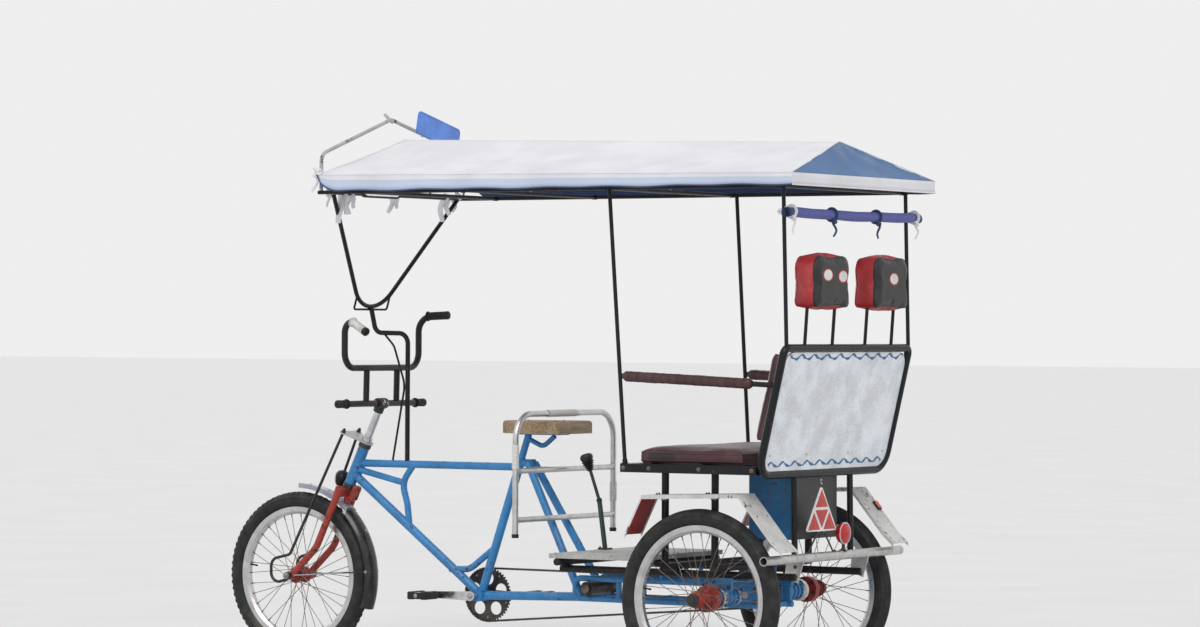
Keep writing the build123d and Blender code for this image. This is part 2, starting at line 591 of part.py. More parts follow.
with BuildPart() as front_mudguard:
    with BuildSketch(guard_plane(GUARD_TAIL)) as channel:
        with BuildLine():
            ThreePointArc((GUARD_R - 14, -GUARD_HALF), (GUARD_R + 8, 0), (GUARD_R - 14, GUARD_HALF))
            Line((GUARD_R - 14, GUARD_HALF), (GUARD_R - 14 + GUARD_SHEET, GUARD_HALF))
            ThreePointArc((GUARD_R - 14 + GUARD_SHEET, GUARD_HALF), (GUARD_R + 8 + GUARD_SHEET, 0),
                          (GUARD_R - 14 + GUARD_SHEET, -GUARD_HALF))
            Line((GUARD_R - 14 + GUARD_SHEET, -GUARD_HALF), (GUARD_R - 14, -GUARD_HALF))
        make_face()
    revolve(channel.sketch, axis=Axis(FRONT_AXLE, (0, 1, 0)), revolution_arc=GUARD_TAIL - GUARD_BREAK)
    with BuildSketch(guard_plane(GUARD_BREAK + 2)) as strip:
        with Locations((GUARD_R + 9 - STRIP_LIP / 2, 0)):
            Rectangle(STRIP_LIP, 2 * STRIP_HALF)
        with Locations((GUARD_R + 6 - STRIP_LIP / 2, 0)):
            Rectangle(STRIP_LIP, 2 * STRIP_HALF - 4, mode=Mode.SUBTRACT)
    revolve(strip.sketch, axis=Axis(FRONT_AXLE, (0, 1, 0)), revolution_arc=GUARD_BREAK + 2 - STRIP_TIP)
    for side in SIDES:
        edge = FRONT_AXLE + guard_plane(STAY_ANGLE).x_dir * (GUARD_R - 12) + Vector(0, side * GUARD_HALF, 0)
        rod(FRONT_AXLE + Vector(0, side * (BLADE_Y + 10), 0), edge, 2.5)
    add(fork.part, mode=Mode.SUBTRACT)
save(front_mudguard, "front_mudguard")

# Small lamp in front of the steering head, on the crown
LAMP = spot(1797, -28, 676)
with BuildPart() as front_lamp:
    facing = Axis(LAMP, (1, 0, 0.1))
    with BuildSketch(Plane(origin=LAMP, x_dir=(0, 0, 1), z_dir=(0, 1, 0))) as bowl:
        with BuildLine():
            Line((0, 0), (0, 22))
            Line((0, 22), (30, 22))
            ThreePointArc((30, 22), (24, -8), (0, -16))
            Line((0, -16), (0, 0))
        make_face()
    revolve(bowl.sketch, axis=Axis(LAMP, (1, 0, 0)))
    rod(LAMP + Vector(4, 0, -14), CROWN_MID + HEAD_NORMAL * 12, 5)
    add(fork.part, mode=Mode.SUBTRACT)
save(front_lamp, "front_lamp")

# Rider's saddle board on its post
with BuildPart() as seat_post:
    post_end = SEAT_TUBE_TOP + SEAT_TUBE_RUN * 90
    rod(SEAT_TUBE_TOP - SEAT_TUBE_RUN * 80, post_end, 13 - SEAT_GAP / 3)
    bent([post_end - SEAT_TUBE_RUN * 14, spot(900, 0, 812), spot(850, 0, 851)], 9, 30)
    with BuildSketch(Plane(origin=spot(906, 0, 856), z_dir=(0, 0, 1))) as shoe:
        RectangleRounded(190, 90, 12)
    extrude(shoe.sketch, amount=5)
save(seat_post, "seat_post")

SADDLE_BOTTOM = 861
with BuildPart() as driver_seat:
    with BuildSketch(Plane(origin=spot(890, 0, SADDLE_BOTTOM), z_dir=(0, 0, 1))) as saddle:
        with BuildLine():
            Polyline((-130, -130), (-130, 130), (60, 110), (150, 60), (150, -60), (60, -110), close=True)
        make_face()
        fillet(saddle.vertices(), 24)
    extrude(saddle.sketch, amount=46)
    fillet(driver_seat.faces().sort_by(Axis.Z)[-1].edges(), 12)
save(driver_seat, "driver_seat")

# Hoop behind the rider: two legs, a rounded top and two rails, clipped to the frame's stays
HOOP_R = 11
HOOP_X = 805
HOOP_Y = 330
HOOP_FOOT_Z = 500
HOOP_TOP_Z = 936
HOOP_RAILS_Z = (560, 734)
with BuildPart() as back_hoop:
    bent([spot(HOOP_X, HOOP_Y, HOOP_FOOT_Z), spot(HOOP_X, HOOP_Y, HOOP_TOP_Z), spot(HOOP_X, -HOOP_Y, HOOP_TOP_Z),
          spot(HOOP_X, -HOOP_Y, HOOP_FOOT_Z)], HOOP_R, 95)
    for z in HOOP_RAILS_Z:
        rod(spot(HOOP_X, -HOOP_Y, z), spot(HOOP_X, HOOP_Y, z), HOOP_R - 1)
    for side in SIDES:
        rod(spot(HOOP_X, side * 34, HOOP_RAILS_Z[1]), spot(940, side * 24, HOOP_RAILS_Z[1]), 6)
    add(main_frame.part, mode=Mode.SUBTRACT)
save(back_hoop, "back_hoop")

# Hand brake lever, standing on the front edge of the footrest
LEVER_Y = -50
with BuildPart() as brake_lever:
    foot = spot(665, LEVER_Y, DECK_Z + DECK_THICKNESS + SEAT_GAP)
    middle = spot(690, LEVER_Y, 620)
    top = spot(745, LEVER_Y, 772)
    with BuildSketch(Plane(origin=foot, z_dir=(0, 0, 1))) as base:
        RectangleRounded(36, 50, 5)
    extrude(base.sketch, amount=6)
    rod(foot + Vector(0, 0, 3), middle, 9)
    rod(middle, top, 6)
    with BuildSketch(Plane(origin=middle + (top - middle) * 0.84, x_dir=(0, 1, 0), z_dir=top - middle)) as neck:
        Circle(12)
    with BuildSketch(Plane(origin=top, x_dir=(0, 1, 0), z_dir=top - middle)) as head:
        Circle(24)
    loft([neck.sketch.face(), head.sketch.face()])
    with BuildSketch(Plane(origin=top, x_dir=(0, 1, 0), z_dir=top - middle)) as cap:
        Circle(24)
    extrude(cap.sketch, amount=16)
    fillet(brake_lever.faces().sort_by(Axis.Z)[-1].edges(), 12)
save(brake_lever, "brake_lever")

# Bumper pipe on two brackets from the carrier rails, with a cross rod between the brackets
BUMPER_Z = 456
BUMPER_X = -300
BUMPER_R = 16
BRACE_X = -258
BRACE_Z = BUMPER_Z - 12
with BuildPart() as bumper:
    rod(spot(BUMPER_X, -490, BUMPER_Z), spot(BUMPER_X, 490, BUMPER_Z), BUMPER_R)
    for side in SIDES:
        rod(spot(BUMPER_X, side * 600, BUMPER_Z), spot(BUMPER_X, side * 380, BUMPER_Z), BUMPER_R - 3, Mode.SUBTRACT)
    for side in SIDES:
        plate(Plane(origin=spot(0, side * CARRIER_RAIL_Y, 0), x_dir=(1, 0, 0), z_dir=(0, -1, 0)),
              [(-316, BUMPER_Z), (BRACE_X + 10, BUMPER_Z + 6), (-240, CARRIER_Z), (-290, CARRIER_Z - 20)], 3, both=True)
    rod(spot(BRACE_X, -CARRIER_RAIL_Y, BRACE_Z), spot(BRACE_X, CARRIER_RAIL_Y, BRACE_Z), 9)
    add(carrier_rails.part, mode=Mode.SUBTRACT)
save(bumper, "bumper")

# Bench frame: a square-section ring with cross bars, and its legs
REAR_LEG_Y = 200
with BuildPart() as seat_frame:
    with BuildSketch(Plane.XY.offset(SEAT_RAIL_Z)) as ring:
        with Locations((REAR_AXLE_X + (SEAT_FRONT + SEAT_REAR) / 2, 0)):
            RectangleRounded(SEAT_FRONT - SEAT_REAR, 2 * SEAT_HALF_WIDTH, 5)
            Rectangle(SEAT_FRONT - SEAT_REAR - 2 * SEAT_RAIL_DEPTH, 2 * (SEAT_HALF_WIDTH - SEAT_RAIL_DEPTH),
                      mode=Mode.SUBTRACT)
        for x in LEG_STATIONS:
            with Locations((REAR_AXLE_X + x, 0)):
                Rectangle(SEAT_RAIL_DEPTH, 2 * SEAT_HALF_WIDTH - SEAT_RAIL_DEPTH)
    extrude(amount=SEAT_RAIL_DEPTH)
save(seat_frame, "seat_frame")

with BuildPart() as seat_legs:
    for side in SIDES:
        for x in LEG_STATIONS:
            rod(spot(x, side * LEG_Y, CROSS_Z), spot(x, side * LEG_Y, SEAT_RAIL_Z), LEG_R)
        rod(spot(BRACE_X, side * REAR_LEG_Y, BRACE_Z), spot(BACK_BOTTOM[0], side * REAR_LEG_Y, BACK_BOTTOM[1]), LEG_R - 2)
    add(carrier_cross_tubes.part, mode=Mode.SUBTRACT)
    add(bumper.part, mode=Mode.SUBTRACT)
    add(seat_frame.part, mode=Mode.SUBTRACT)
save(seat_legs, "seat_legs")

# Box hung under the rear of the bench frame
BOX_FRONT = -60
BOX_REAR = -236
BOX_WIDTH = 320
BOX_MIDDLE = 17
BOX_BOTTOM = 515
with BuildPart() as under_seat_box:
    with BuildSketch(Plane.XY.offset(BOX_BOTTOM)) as floor_plan:
        with Locations((REAR_AXLE_X + (BOX_FRONT + BOX_REAR) / 2, BOX_MIDDLE)):
            Rectangle(BOX_FRONT - BOX_REAR, BOX_WIDTH)
    extrude(floor_plan.sketch, amount=SEAT_RAIL_Z - SEAT_GAP - BOX_BOTTOM)
    chamfer(under_seat_box.edges().filter_by(Axis.Z), 4)
save(under_seat_box, "under_seat_box")

SEAT_TOP = SEAT_RAIL_Z + SEAT_RAIL_DEPTH
with BuildPart() as seat_cushion:
    with BuildSketch(Plane.XY.offset(SEAT_TOP + SEAT_GAP)):
        with Locations((REAR_AXLE_X + 34, 0)):
            RectangleRounded(440, 2 * SEAT_HALF_WIDTH - 28, 30)
    extrude(amount=CUSHION_HEIGHT)
    fillet(seat_cushion.faces().sort_by(Axis.Z)[-1].edges(), 20)
save(seat_cushion, "seat_cushion")

# Backrest: a reclined tube frame, a board set in it and a pad on the board's front
BACK_RUN = spot(BACK_TOP[0], 0, BACK_TOP[1]) - spot(BACK_BOTTOM[0], 0, BACK_BOTTOM[1])
BACK_DIR = BACK_RUN.normalized()
BACK_FRONT = Vector(BACK_DIR.Z, 0, -BACK_DIR.X)
BACK_ORIGIN = spot(BACK_BOTTOM[0], 0, BACK_BOTTOM[1])


def on_back(y, up, ahead=0):
    """A point of the backrest: up its slope, and ahead of the tubes' middle plane."""
    return BACK_ORIGIN + BACK_DIR * up + BACK_FRONT * ahead + Vector(0, y, 0)


HEADREST_Y = 215
STALK_SPREAD = 97
HEADREST_BOTTOM = 1308
HEADREST_WIDTH = 262
HEADREST_HEIGHT = 196
HEADREST_DEPTH = 106
with BuildPart() as backrest_frame:
    for side in SIDES:
        half = side * BACK_HALF_WIDTH
        bent([on_back(0, 0), on_back(half, 0), on_back(half, BACK_RUN.length), on_back(0, BACK_RUN.length)],
             BACK_R, [70, 26])
        for spread in (-STALK_SPREAD, STALK_SPREAD):
            y = side * HEADREST_Y + spread
            rod(on_back(y, BACK_RUN.length), spot(BACK_TOP[0] - 12, y, HEADREST_BOTTOM + 40), 6)
    add(seat_frame.part, mode=Mode.SUBTRACT)
    add(seat_legs.part, mode=Mode.SUBTRACT)
save(backrest_frame, "backrest_frame")

BACK_PLANE = Plane(origin=BACK_ORIGIN, x_dir=(0, 1, 0), z_dir=BACK_FRONT)
PAD_BOTTOM = 100
BOARD_BOTTOM = BACK_R + SEAT_GAP
BOARD_TOP = BACK_RUN.length - BACK_R - SEAT_GAP
BOARD_HALF_WIDTH = BACK_HALF_WIDTH - BACK_R - SEAT_GAP
with BuildPart() as backrest_board:
    with BuildSketch(BACK_PLANE) as board:
        with BuildLine():
            Polyline((-BOARD_HALF_WIDTH, BOARD_BOTTOM), (BOARD_HALF_WIDTH, BOARD_BOTTOM),
                     (BOARD_HALF_WIDTH, BOARD_TOP), (-BOARD_HALF_WIDTH, BOARD_TOP), close=True)
        make_face()
        fillet(board.vertices().group_by(Axis.Z)[0], 56)
        fillet(board.vertices().group_by(Axis.Z)[-1], 12)
    extrude(board.sketch, amount=BOARD_THICKNESS / 2, both=True)
    add(seat_frame.part, mode=Mode.SUBTRACT)
save(backrest_board, "backrest_board")

with BuildPart() as backrest_pad:
    with BuildSketch(BACK_PLANE.offset(BOARD_THICKNESS / 2 + SEAT_GAP)) as pad:
        with Locations((0, (BACK_RUN.length - 24 + PAD_BOTTOM) / 2)):
            RectangleRounded(850, BACK_RUN.length - 24 - PAD_BOTTOM, 30)
    extrude(pad.sketch, amount=PAD_THICKNESS)
    fillet(backrest_pad.faces().sort_by(Axis(BACK_ORIGIN, BACK_FRONT))[-1].edges(), 20)
save(backrest_pad, "backrest_pad")

with BuildPart() as headrests:
    for side in SIDES:
        foot = spot(BACK_TOP[0] - 12, side * HEADREST_Y, HEADREST_BOTTOM)
        face = Plane(origin=foot, x_dir=(0, 1, 0), z_dir=(1, 0, 0))
        with BuildSketch(face) as outline:
            half = HEADREST_WIDTH / 2
            with BuildLine():
                Polyline((-half, 0), (half, 0), (half, HEADREST_HEIGHT), (-half, HEADREST_HEIGHT), close=True)
            make_face()
            fillet(outline.vertices().group_by(Axis.Z)[-1], 44)
            fillet(outline.vertices().group_by(Axis.Z)[0], 22)
        extrude(outline.sketch, amount=HEADREST_DEPTH / 2, both=True)
    chamfer(headrests.edges().filter_by(lambda edge: abs(edge.tangent_at(0).X) < 0.01), 6)
    add(backrest_frame.part, mode=Mode.SUBTRACT)
save(headrests, "headrests")

# Armrests: a rod from the backrest to each front post, with a padded sleeve
FRONT_POST_FOOT = (288, 430)
FRONT_POST_TOP = (350, ROOF_HALF_WIDTH)
REAR_POST_TOP = (-343, ROOF_HALF_WIDTH)
with BuildPart() as canopy_posts:
    for side in SIDES:
        rod(spot(FRONT_POST_FOOT[0], side * FRONT_POST_FOOT[1], SEAT_TOP),
            spot(FRONT_POST_TOP[0], side * FRONT_POST_TOP[1], EAVE_Z - 18), POST_R)
        rod(on_back(side * (BACK_HALF_WIDTH - 10), BACK_RUN.length + BACK_R - 6),
            spot(REAR_POST_TOP[0], side * REAR_POST_TOP[1], EAVE_Z - 18), POST_R)
    add(backrest_frame.part, mode=Mode.SUBTRACT)
    add(seat_frame.part, mode=Mode.SUBTRACT)
save(canopy_posts, "canopy_posts")

ARM_REAR = on_back(0, (1052 - BACK_BOTTOM[1]) / BACK_DIR.Z)
ARM_FRONT = spot(307, 0, 1078)
ARM_R = 9
with BuildPart() as armrest_rods:
    for side in SIDES:
        rod(ARM_REAR + Vector(0, side * BACK_HALF_WIDTH, 0), ARM_FRONT + Vector(0, side * 434, 0), ARM_R)
    add(backrest_frame.part, mode=Mode.SUBTRACT)
    add(canopy_posts.part, mode=Mode.SUBTRACT)
save(armrest_rods, "armrest_rods")

with BuildPart() as armrest_pads:
    for side in SIDES:
        rear = ARM_REAR + Vector(0, side * BACK_HALF_WIDTH, 0)
        front = ARM_FRONT + Vector(0, side * 434, 0)
        rod(toward(rear, front, 96), toward(front, rear, 14), 19)
        rod(rear, front, ARM_R + SEAT_GAP, Mode.SUBTRACT)
save(armrest_pads, "armrest_pads")

# Roof frame: eave rails, cross tubes under them, a ridge pole and the open gable in front
GABLE_X = 1577
GABLE_APEX_Z = 2012
# Height of the left and the right bend: the frame leans
GABLE_BEND_Z = (1868, 1912)
RAIL_Z = EAVE_Z - 18 + ROOF_R
with BuildPart() as eave_rails:
    for side in SIDES:
        rod(spot(-352, side * ROOF_HALF_WIDTH, RAIL_Z), spot(GABLE_X + 12, side * ROOF_HALF_WIDTH, RAIL_Z), ROOF_R)
    add(canopy_posts.part, mode=Mode.SUBTRACT)
save(eave_rails, "eave_rails")

ROOF_TUBES = (-330, 370, 960, 1400)
with BuildPart() as roof_cross_tubes:
    for x in ROOF_TUBES:
        rod(spot(x, -ROOF_HALF_WIDTH, RAIL_Z), spot(x, ROOF_HALF_WIDTH, RAIL_Z), ROOF_R)
    add(eave_rails.part, mode=Mode.SUBTRACT)
save(roof_cross_tubes, "roof_cross_tubes")

RIDGE_SLOPE = (RIDGE_FRONT_Z - RIDGE_REAR_Z) / (RIDGE_FRONT - RIDGE_REAR)
POLE_REAR = RIDGE_REAR + 45
POLE_FRONT = RIDGE_FRONT - 9


def pole_at(x):
    """The point of the ridge pole's middle line at x: it lies just under the canopy's ridge."""
    return spot(x, 0, RIDGE_REAR_Z - 1.1 * CANOPY_SHEET - ROOF_R - 1.2 + (x - RIDGE_REAR) * RIDGE_SLOPE)


with BuildPart() as ridge_pole:
    rod(pole_at(POLE_REAR), pole_at(POLE_FRONT), ROOF_R)
    for x in ROOF_TUBES:
        rod(pole_at(max(x, POLE_REAR + 8)), spot(x, 0, RAIL_Z), 5)
    add(roof_cross_tubes.part, mode=Mode.SUBTRACT)
save(ridge_pole, "ridge_pole")

with BuildPart() as gable_frame:
    bent([spot(GABLE_X, ROOF_HALF_WIDTH, RAIL_Z + ROOF_R), spot(GABLE_X, ROOF_HALF_WIDTH, GABLE_BEND_Z[0]),
          spot(GABLE_X, 0, GABLE_APEX_Z), spot(GABLE_X, -ROOF_HALF_WIDTH, GABLE_BEND_Z[1]),
          spot(GABLE_X, -ROOF_HALF_WIDTH, RAIL_Z + ROOF_R)], ROOF_R, [40, 30, 40])
    rod(spot(GABLE_X - 8, 0, GABLE_APEX_Z - 12), spot(GABLE_X + 28, 0, GABLE_APEX_Z + 20), ROOF_R - 1)
    add(eave_rails.part, mode=Mode.SUBTRACT)
save(gable_frame, "gable_frame")

# Blank rounded plate that stands on the gable's right arm
PLATE_LENGTH = 286
PLATE_HEIGHT = 88
PLATE_Y = -292
GABLE_SLOPE = degrees(atan2(GABLE_APEX_Z - GABLE_BEND_Z[1], ROOF_HALF_WIDTH))
PLATE_Z = GABLE_APEX_Z + PLATE_Y * tan(radians(GABLE_SLOPE))
PLATE_RISE = PLATE_HEIGHT / 2 - 9
with BuildPart() as gable_plate:
    plane = Plane(origin=spot(GABLE_X - ROOF_R - SEAT_GAP, PLATE_Y, PLATE_Z), x_dir=(0, -1, 0), z_dir=(-1, 0, 0))
    with BuildSketch(plane) as sign:
        with Locations((PLATE_RISE * sin(radians(GABLE_SLOPE)), PLATE_RISE * cos(radians(GABLE_SLOPE)))):
            RectangleRounded(PLATE_LENGTH, PLATE_HEIGHT, 18, rotation=-GABLE_SLOPE)
    extrude(sign.sketch, amount=4)
save(gable_plate, "gable_plate")

# Front support: a post from the top tube, bent forward round the bars, and a V strut to the eaves
V_FOOT = spot(1663, 0, 1320)
V_TOP_X = 1548
SUPPORT_R = 9
with BuildPart() as canopy_front_post:
    bent([spot(1496, 0, 737), spot(1496, 0, 1220), spot(1640, 0, 1222), V_FOOT], SUPPORT_R, [40, 34])
    bent([spot(1602, 0, 1218), spot(1558, 0, 1174), spot(1508, 0, 1030), spot(1562, 0, 744)], 4, [60, 110])
    add(main_frame.part, mode=Mode.SUBTRACT)
save(canopy_front_post, "canopy_front_post")

# The strut's arms would meet at this corner: its bend stands on the post
V_CORNER = spot(1690, 0, 1230)
with BuildPart() as v_strut:
    bent([spot(V_TOP_X, ROOF_HALF_WIDTH - 34, RAIL_Z), V_CORNER, spot(V_TOP_X, 34 - ROOF_HALF_WIDTH, RAIL_Z)], 8, 150)
    bent([spot(1650, 106, 1362), spot(1666, 106, 1308), spot(1666, -106, 1308), spot(1650, -106, 1362)], 4, 10)
    rod(spot(V_TOP_X, -ROOF_HALF_WIDTH, RAIL_Z), spot(V_TOP_X, ROOF_HALF_WIDTH, RAIL_Z), ROOF_R)
    add(canopy_front_post.part, mode=Mode.SUBTRACT)
    add(eave_rails.part, mode=Mode.SUBTRACT)
save(v_strut, "v_strut")

# Mirror on a short arm from the strut's cross tube, its glass facing the rider
MIRROR = spot(1488, 212, 1744)
with BuildPart() as mirror:
    with BuildSketch(Plane(origin=MIRROR, x_dir=(0, 1, 0), z_dir=(-1, 0, 0))) as shell:
        RectangleRounded(240, 62, 24)
    extrude(shell.sketch, amount=22)
    fillet(mirror.faces().sort_by(Axis.X)[-1].edges(), 9)
    rod(MIRROR - Vector(8, 0, 0), spot(V_TOP_X, MIRROR.Y, RAIL_Z), 5)
    add(v_strut.part, mode=Mode.SUBTRACT)
save(mirror, "mirror")


# Canopy: a thin sheet over the ridge, hipped behind, open below and in front, with pointed front corners
def canopy_form(rows, mode=Mode.ADD):
    """The hull of rows of (x, half width, z), each row a point on both sides."""
    ConvexPolyhedron([spot(x, side * half, z) for x, half, z in rows for side in SIDES], mode=mode)


CANOPY_BOTTOM = EAVE_Z + 1
with BuildPart() as canopy:
    canopy_form([
        (RIDGE_FRONT, RIDGE_HALF, RIDGE_FRONT_Z), (RIDGE_REAR, RIDGE_HALF, RIDGE_REAR_Z),
        (-CANOPY_REAR, CANOPY_HALF_WIDTH, CANOPY_BOTTOM + SKIRT), (-CANOPY_REAR, CANOPY_HALF_WIDTH, CANOPY_BOTTOM),
        (SKIRT_FRONT, CANOPY_HALF_WIDTH, CANOPY_BOTTOM), (TIP_FRONT, TIP_HALF_WIDTH, TIP_Z),
    ])
    inner_half = CANOPY_HALF_WIDTH - CANOPY_SHEET
    inner_top = CANOPY_BOTTOM + SKIRT - 0.3 * CANOPY_SHEET
    beyond = TIP_FRONT + 60
    canopy_form([
        (beyond, RIDGE_HALF, RIDGE_FRONT_Z - CANOPY_SHEET),
        (RIDGE_REAR + 1.3 * CANOPY_SHEET, RIDGE_HALF, RIDGE_REAR_Z - 1.1 * CANOPY_SHEET),
        (CANOPY_SHEET - CANOPY_REAR, inner_half, inner_top), (CANOPY_SHEET - CANOPY_REAR, inner_half, CANOPY_BOTTOM - 2),
        (beyond, inner_half, inner_top), (beyond, inner_half, CANOPY_BOTTOM - 2),
    ], Mode.SUBTRACT)
save(canopy, "canopy")

CURTAIN_R = 22
CURTAIN_Z = 1641
CURTAIN_HALF = 480
with BuildPart() as rolled_curtain:
    curtain_x = REAR_POST_TOP[0] - 2.7 - POST_R - CURTAIN_R
    rod(spot(curtain_x, -CURTAIN_HALF, CURTAIN_Z), spot(curtain_x, CURTAIN_HALF, CURTAIN_Z), CURTAIN_R)
save(rolled_curtain, "rolled_curtain")

# Rear fenders: folded sheets over each wheel, with a lip turned down along both edges
# Outline points: x, z, from the front tip to the rear lip
FENDER_LINE = ((273, 532), (205, 668), (-179, 680), (-307, 528), (-352, 488))


def fender_band(middle_y, depth, half_width):
    with BuildSketch(Plane(origin=spot(0, middle_y, 0), x_dir=(1, 0, 0), z_dir=(0, -1, 0))) as fold:
        with BuildLine():
            Polyline(*FENDER_LINE, *[(x, z - depth) for x, z in reversed(FENDER_LINE)], close=True)
        make_face()
    extrude(fold.sketch, amount=half_width, both=True)


with BuildPart() as fenders:
    for side in SIDES:
        fender_band(side * TRACK / 2, FENDER_SHEET, FENDER_W / 2)
        for edge in SIDES:
            fender_band(side * TRACK / 2 + edge * (FENDER_W / 2 - 1), FENDER_LIP, 1)
save(fenders, "fenders")

# Warning triangle on a bent wire that stands on the bumper pipe
TRIANGLE_X = -300
TRIANGLE_Y = 94
TRIANGLE_FOOT_Z = 545
TRIANGLE_HALF = 109
TRIANGLE_HEIGHT = 156
WIRE_R = 3
with BuildPart() as warning_triangle:
    triangle = Plane(origin=spot(TRIANGLE_X, TRIANGLE_Y, TRIANGLE_FOOT_Z), x_dir=(0, -1, 0), z_dir=(-1, 0, 0))
    with BuildSketch(triangle) as warning:
        with BuildLine():
            Polyline((-TRIANGLE_HALF, 0), (TRIANGLE_HALF, 0), (0, TRIANGLE_HEIGHT), close=True)
        make_face()
        fillet(warning.vertices(), 7)
    extrude(warning.sketch, amount=5)
    for side in SIDES:
        rod(spot(TRIANGLE_X, TRIANGLE_Y + side * 104, BUMPER_Z),
            spot(TRIANGLE_X - 2, TRIANGLE_Y + side * 14, TRIANGLE_FOOT_Z + 6), WIRE_R)
    add(bumper.part, mode=Mode.SUBTRACT)
save(warning_triangle, "warning_triangle")

# Oval tail lamp that stands on the bumper pipe
TAIL_LAMP = spot(-286, -72, 531)
with BuildPart() as tail_lamp:
    with BuildSketch(Plane(origin=TAIL_LAMP, x_dir=(0, 1, 0), z_dir=(-1, 0, 0))) as lens:
        Ellipse(41, 39)
    extrude(lens.sketch, amount=30)
    rod(spot(BUMPER_X, -72, BUMPER_Z), spot(BUMPER_X, -72, 500), 6)
    add(bumper.part, mode=Mode.SUBTRACT)
save(tail_lamp, "tail_lamp")
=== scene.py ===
import bpy
import bmesh
from math import asin, atan2, cos, exp, hypot, pi, radians, sin, sqrt, tan, tau
from mathutils import Matrix, Vector, noise

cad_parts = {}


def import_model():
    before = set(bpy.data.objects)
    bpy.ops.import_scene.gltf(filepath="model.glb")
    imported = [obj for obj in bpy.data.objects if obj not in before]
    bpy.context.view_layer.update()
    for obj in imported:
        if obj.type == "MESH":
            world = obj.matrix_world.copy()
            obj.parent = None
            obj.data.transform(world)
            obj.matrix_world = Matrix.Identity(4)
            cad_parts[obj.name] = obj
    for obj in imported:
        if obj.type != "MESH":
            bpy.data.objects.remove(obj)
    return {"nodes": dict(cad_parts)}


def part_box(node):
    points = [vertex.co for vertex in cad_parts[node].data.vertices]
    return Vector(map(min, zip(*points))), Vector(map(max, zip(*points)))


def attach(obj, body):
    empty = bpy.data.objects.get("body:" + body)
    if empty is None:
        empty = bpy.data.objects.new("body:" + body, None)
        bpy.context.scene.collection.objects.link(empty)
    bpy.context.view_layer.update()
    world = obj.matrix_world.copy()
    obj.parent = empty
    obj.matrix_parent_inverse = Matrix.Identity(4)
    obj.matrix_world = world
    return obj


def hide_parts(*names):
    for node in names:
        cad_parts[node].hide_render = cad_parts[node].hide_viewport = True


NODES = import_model()["nodes"]
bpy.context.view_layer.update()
X = Vector((1, 0, 0))
Y = Vector((0, 1, 0))
Z = Vector((0, 0, 1))
SIDES = (1, -1)
HEAD_ANGLE = radians(24.8)
HEAD_AXIS = Vector((-sin(HEAD_ANGLE), 0, cos(HEAD_ANGLE)))


def linked(name, data):
    """A new object of the scene."""
    made = bpy.data.objects.new(name, data)
    bpy.context.scene.collection.objects.link(made)
    return made


# Camera: its place and turn were fitted to the wheels, the ground and the frame's straight lines
CAMERA_PLACE = Vector((-8.512, 13.247, 1.244))
CAMERA_RIGHT = Vector((-0.8492, -0.528, 0.0049)).normalized()
CAMERA_BACK = Vector((-0.528, 0.8492, -0.0033)).normalized()
CAMERA_LENS_MM = 130.2
CAMERA_SENSOR_MM = 36

camera_up = CAMERA_BACK.cross(CAMERA_RIGHT).normalized()
camera_right = camera_up.cross(CAMERA_BACK)
camera_data = bpy.data.cameras.new("camera")
camera_data.lens = CAMERA_LENS_MM
camera_data.sensor_width = CAMERA_SENSOR_MM
camera_data.clip_end = 300
camera = linked("camera", camera_data)
camera_turn = Matrix((camera_right, camera_up, CAMERA_BACK)).transposed().to_4x4()
camera.matrix_world = Matrix.Translation(CAMERA_PLACE) @ camera_turn
bpy.context.scene.camera = camera


# Shader building blocks
def shader_group(name, inputs, outputs):
    """A shader node group. Returns its tree, the sockets that come in and those that go out."""
    tree = bpy.data.node_groups.new(name, "ShaderNodeTree")
    for label, value in inputs.items():
        kind = "NodeSocketColor" if isinstance(value, tuple) else "NodeSocketFloat"
        socket = tree.interface.new_socket(label, in_out="INPUT", socket_type=kind)
        socket.default_value = (*value, 1) if isinstance(value, tuple) else value
    for label in outputs:
        kind = "NodeSocketColor" if label == "Color" else "NodeSocketFloat"
        tree.interface.new_socket(label, in_out="OUTPUT", socket_type=kind)
    entry = tree.nodes.new("NodeGroupInput")
    leave = tree.nodes.new("NodeGroupOutput")
    return tree, entry.outputs, leave.inputs


def feed(tree, socket, value):
    """Puts a number, a colour or another socket into a socket."""
    if isinstance(value, bpy.types.NodeSocket):
        tree.links.new(value, socket)
    elif isinstance(value, tuple) and len(value) == 3 and socket.type == "RGBA":
        socket.default_value = (*value, 1)
    else:
        socket.default_value = value


def place_of(tree, kind="Object"):
    return tree.nodes.new("ShaderNodeTexCoord").outputs[kind]


def stretched(tree, vector, scale):
    mapping = tree.nodes.new("ShaderNodeMapping")
    feed(tree, mapping.inputs["Vector"], vector)
    mapping.inputs["Scale"].default_value = scale
    return mapping.outputs["Vector"]


def grain(tree, scale, detail=3.0, rough=0.55, vector=None, warp=0.0):
    texture = tree.nodes.new("ShaderNodeTexNoise")
    feed(tree, texture.inputs["Vector"], vector if vector is not None else place_of(tree))
    feed(tree, texture.inputs["Scale"], scale)
    texture.inputs["Detail"].default_value = detail
    texture.inputs["Roughness"].default_value = rough
    texture.inputs["Distortion"].default_value = warp
    return texture.outputs["Fac"]


def cells(tree, scale, feature="F1", vector=None):
    texture = tree.nodes.new("ShaderNodeTexVoronoi")
    texture.feature = feature
    feed(tree, texture.inputs["Vector"], vector if vector is not None else place_of(tree))
    feed(tree, texture.inputs["Scale"], scale)
    return texture.outputs["Distance"]


def spread(tree, value, low, high, to_low=0.0, to_high=1.0):
    """The value, moved from the range low to high to another range, and smooth at both ends."""
    node = tree.nodes.new("ShaderNodeMapRange")
    node.interpolation_type = "SMOOTHSTEP"
    for label, number in (("Value", value), ("From Min", low), ("From Max", high), ("To Min", to_low),
                          ("To Max", to_high)):
        feed(tree, node.inputs[label], number)
    return node.outputs["Result"]


